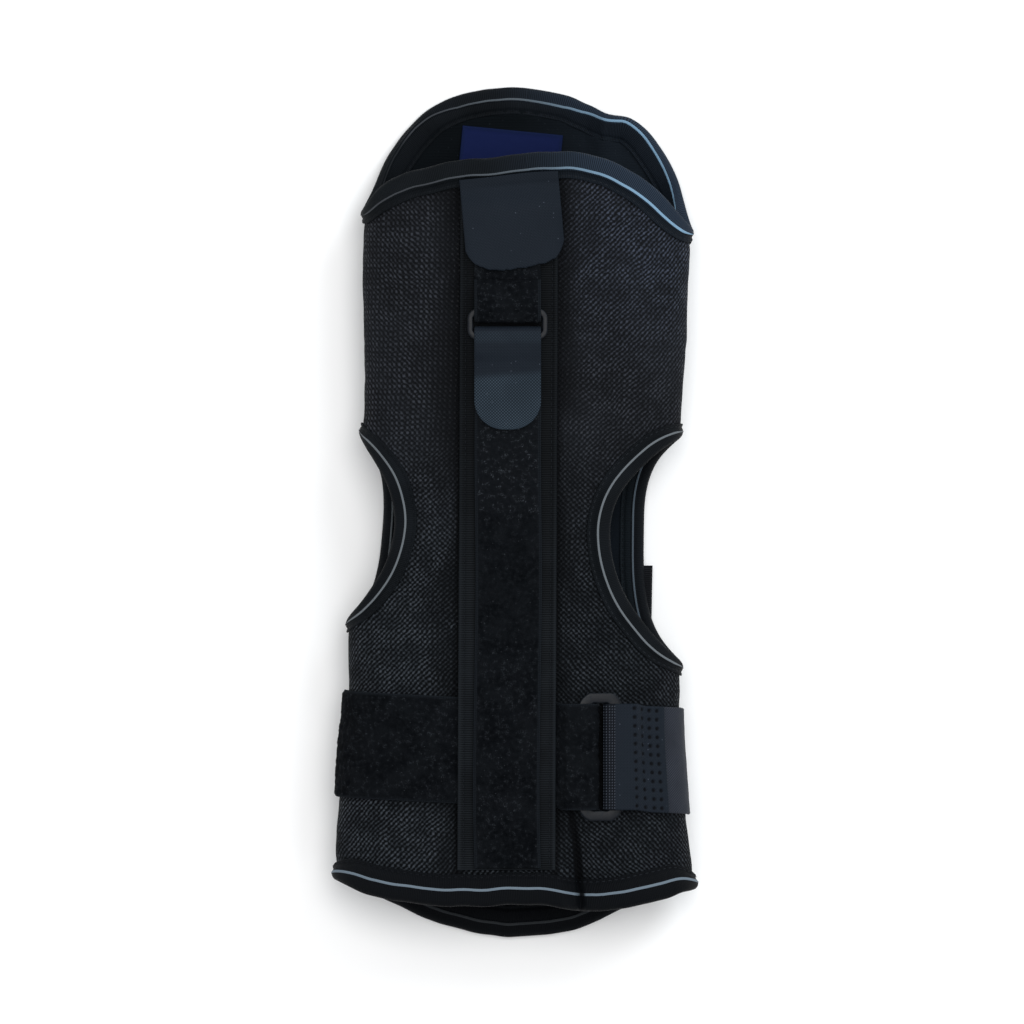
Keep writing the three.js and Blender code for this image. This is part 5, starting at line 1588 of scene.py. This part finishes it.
def foot_hook_tab():
    bar = FOOT_RING_WIDTH / 2
    on_webbing = GAP + HOOK + GAP + HOOK / 2
    near = [(bar + FOLDED_LEG, leg_height(HOOK))]
    near += turn_round(FOOT_BAR_INNER, HOOK, -1)
    near += [(bar, over_bar(HOOK))]
    near += descent(bar + FOLDED_LEG, over_bar(HOOK), on_webbing, 1)[:2]
    reach = bar + FOLDED_LEG + STRAP_DESCENT
    start = float(around_at(np.array(FOOT_RING_X + reach), np.array(FOOT_RING_Y)))
    stop = float(around_at(np.array(FOOT_RING_X + FOOT_TAB_END), np.array(FOOT_RING_Y)))
    middle = foot_band(near, np.linspace(start, stop, 6), on_webbing, 0.6)
    normals = facing(middle, 0.8)
    across = run_lengths(middle, 1) - FOOT_STRAP_WIDTH / 2
    along = run_lengths(middle, 0)
    relief = 0.03 * uneven(along.shape, 2.0, 17)
    pressed_dots_and_shade = np.zeros_like(relief)
    total = float(along[-1].mean())
    for back in DOT_LINES:
        for step in np.arange(-DOT_REACH, DOT_REACH + 0.1, DOT_SPACING):
            off = np.hypot(along - (total - back - 0.03 * step), across - step)
            pressed_dots_and_shade = np.maximum(pressed_dots_and_shade, np.exp(-((off / DOT_RADIUS) ** 4)))
    knitted = 0.6 * ease((total - KNITTED_START - along) / 0.8)
    tone = -np.maximum(pressed_dots_and_shade, knitted)
    parts = band_parts(middle, HOOK, normals, relief - 0.5 * pressed_dots_and_shade, tone)
    wanted = np.arange(-BEAD_REACH, BEAD_REACH + 0.1, BEAD_SPACING)
    for back in KNITTED_LINES:
        row = int(np.argmin(np.abs(along[:, 0] - (total - back))))
        at = along_line(wanted, across[row], middle[row])
        up = np.tile(normals[row, middle.shape[1] // 2], (len(wanted), 1))
        run = np.tile([0.35, 1.0, 0.0], (len(wanted), 1))
        parts.append(stitch_part(at + up * (HOOK / 2 - 0.05), run, up, 0.95, 0.7, 0.5, 1))
    return piece(
        "foot_hook_tab_cloth", parts, [HOOK_TAPE, PALE_THREAD], ["foot_hook_tab"]
    )


def foot_ring():
    window = FOOT_STRAP_WIDTH + FOOT_WINDOW_PLAY
    x, z = near_foot_ring(0.0, BAR_BOTTOM)
    return ring(
        "foot_ring_moulding", "foot_ring", (FOOT_RING_WIDTH, window + FOOT_END_BARS),
        (2 * FOOT_BAR_INNER, window), 0.5, 0.36, (x, FOOT_RING_Y, z), FOOT_TILT,
    )


# Heel strap on the back
def heel_strap():
    at = np.array(HEEL_Y)

    def edge(ankle):
        half = ANKLE_WIDEST - ankle["bottom"]
        share = (abs(HEEL_Y - ANKLE_WIDEST) / half) ** BACK_OVAL["power"]
        s = ankle["back"] * (1 - share) ** BACK_OVAL["root"]
        return float(beside_seam(ankle["side"], np.array(-s), at))

    left_edge = edge(LEFT_ANKLE) + 4 - HEEL_STOPS_SHORT / float(quarter_length(at, 3))
    right_edge = edge(RIGHT_ANKLE) - HEEL_SHOWS / float(quarter_length(at, 2))
    length = (left_edge - right_edge) * float(quarter_length(at, 2))
    turns = mix(right_edge, left_edge, spaced(length, 0.5, 0.8) / length)
    across = spaced(HEEL_WIDTH, 0.9, 0.8) - HEEL_WIDTH / 2
    around = turns[:, None] + 0 * across[None, :]
    reach = np.minimum(around - right_edge, left_edge - around) * float(quarter_length(at, 2))
    over_tape = (TAPE_PLAY + TAPE) * (1 - ease((reach - ANKLE_TAPE_WIDTH - 4.5) / 9.0))
    middle = cloth(around, HEEL_Y + across[None, :] + 0 * around, GAP + over_tape + HOOK / 2)
    ribs = 0.1 * np.abs(np.sin(np.pi * run_lengths(middle, 0) / 1.0)) - 0.05
    parts = band_parts(middle, HOOK, facing(middle, 0.5, False), ribs)
    return piece("heel_strap_webbing", parts, [HEEL_WEBBING], ["heel_strap"])


# Woven patch inside the calf end, left bare
def inner_label():
    c, s = math.cos(LABEL_LEAN), math.sin(LABEL_LEAN)
    across = (spaced(LABEL_WIDTH, 0.8, 0.4) - LABEL_WIDTH / 2)[None, :]
    down = (spaced(LABEL_HEIGHT, 0.8, 0.4) - LABEL_HEIGHT / 2)[:, None]
    x = LABEL_X + across * c - down * s
    y = LABEL_Y + across * s + down * c
    base = TAPE_PLAY + TAPE + PANEL + GAP + LABEL_THICKNESS / 2
    z = base + 0.25 * np.cos(across / LABEL_WIDTH * 3.0) + 0 * y
    middle = np.stack([x, y, z], -1)
    border = np.minimum(LABEL_WIDTH / 2 - np.abs(across), LABEL_HEIGHT / 2 - np.abs(down))
    hem = 1 - ease((border - 1.0) / 0.6)
    parts = band_parts(middle, LABEL_THICKNESS, facing(middle), 0.2 * hem, hem)
    return piece("inner_label_patch", parts, [LABEL_WEAVE], ["inner_label"])


front_panel()
back_panel()
rim_tape("calf_edge_tape_cloth", "calf_edge_tape", CALF_END, 41)
rim_tape("toe_edge_tape_cloth", "toe_edge_tape", TOE_END, 43)
ankle_tape("left_ankle_tape_cloth", "left_ankle_tape", LEFT_ANKLE, 0.26, 45)
# Painted light: the right ankle tape's face inside the tube is painted lighter.
ankle_tape("right_ankle_tape_cloth", "right_ankle_tape", RIGHT_ANKLE, 0.39, 47, 2.0)
stay_sleeve()
lower_pull_strap()
upper_pull_strap()
pull_hook_tab()
lock_hook_tab()
pull_ring()
foot_loop_strap()
foot_webbing()
foot_hook_tab()
foot_ring()
heel_strap()
inner_label()


# Floor, light and camera
def floor():
    bm = bmesh.new()
    bmesh.ops.create_grid(bm, x_segments=1, y_segments=1, size=4.0)
    mesh = bpy.data.meshes.new("floor")
    bm.to_mesh(mesh)
    bm.free()
    mesh.transform(Matrix.Translation((0, 0, -FLOOR_DROP)))
    material = bpy.data.materials.new("pale floor")
    material.use_nodes = True
    shader = material.node_tree.nodes["Principled BSDF"]
    shader.inputs["Base Color"].default_value = (0.93, 0.93, 0.93, 1)
    shader.inputs["Roughness"].default_value = 0.8
    shader.inputs["Specular IOR Level"].default_value = 0.1
    mesh.materials.append(material)
    obj = bpy.data.objects.new("floor", mesh)
    scene.collection.objects.link(obj)


def soft_light(name, place, aim, size, power, colour):
    light = bpy.data.lights.new(name, "AREA")
    light.shape = "DISK"
    light.size = size
    light.energy = power
    light.color = colour
    obj = bpy.data.objects.new(name, light)
    obj.location = place
    obj.rotation_euler = (Vector(aim) - Vector(place)).to_track_quat("-Z", "Y").to_euler()
    obj.visible_camera = False
    scene.collection.objects.link(obj)


floor()
soft_light("overhead light", (0.3, 0.6, 4.4), (0, 0, 0), 2.6, 95.0, (1.0, 0.99, 0.98))
soft_light("window light", (1.5, 1.7, 2.0), (0, 0.05, 0.03), 1.4, 30.0, (0.88, 0.95, 1.0))
world = bpy.data.worlds.new("studio")
world.use_nodes = True
world.node_tree.nodes["Background"].inputs[0].default_value = (0.97, 0.985, 1.0, 1)
world.node_tree.nodes["Background"].inputs[1].default_value = 0.75
scene.world = world
scene.view_settings.view_transform = "Standard"

lens = bpy.data.cameras.new("camera")
lens.sensor_width = SENSOR_WIDTH
lens.lens = SENSOR_WIDTH * CAMERA_DISTANCE / PICTURE_WIDTH
lens.clip_end = 20.0
camera = bpy.data.objects.new("camera", lens)
camera.location = Vector(CAMERA_AIM) + Vector((0.0, 0.0, CAMERA_DISTANCE))
scene.collection.objects.link(camera)
scene.camera = camera

bpy.context.view_layer.update()
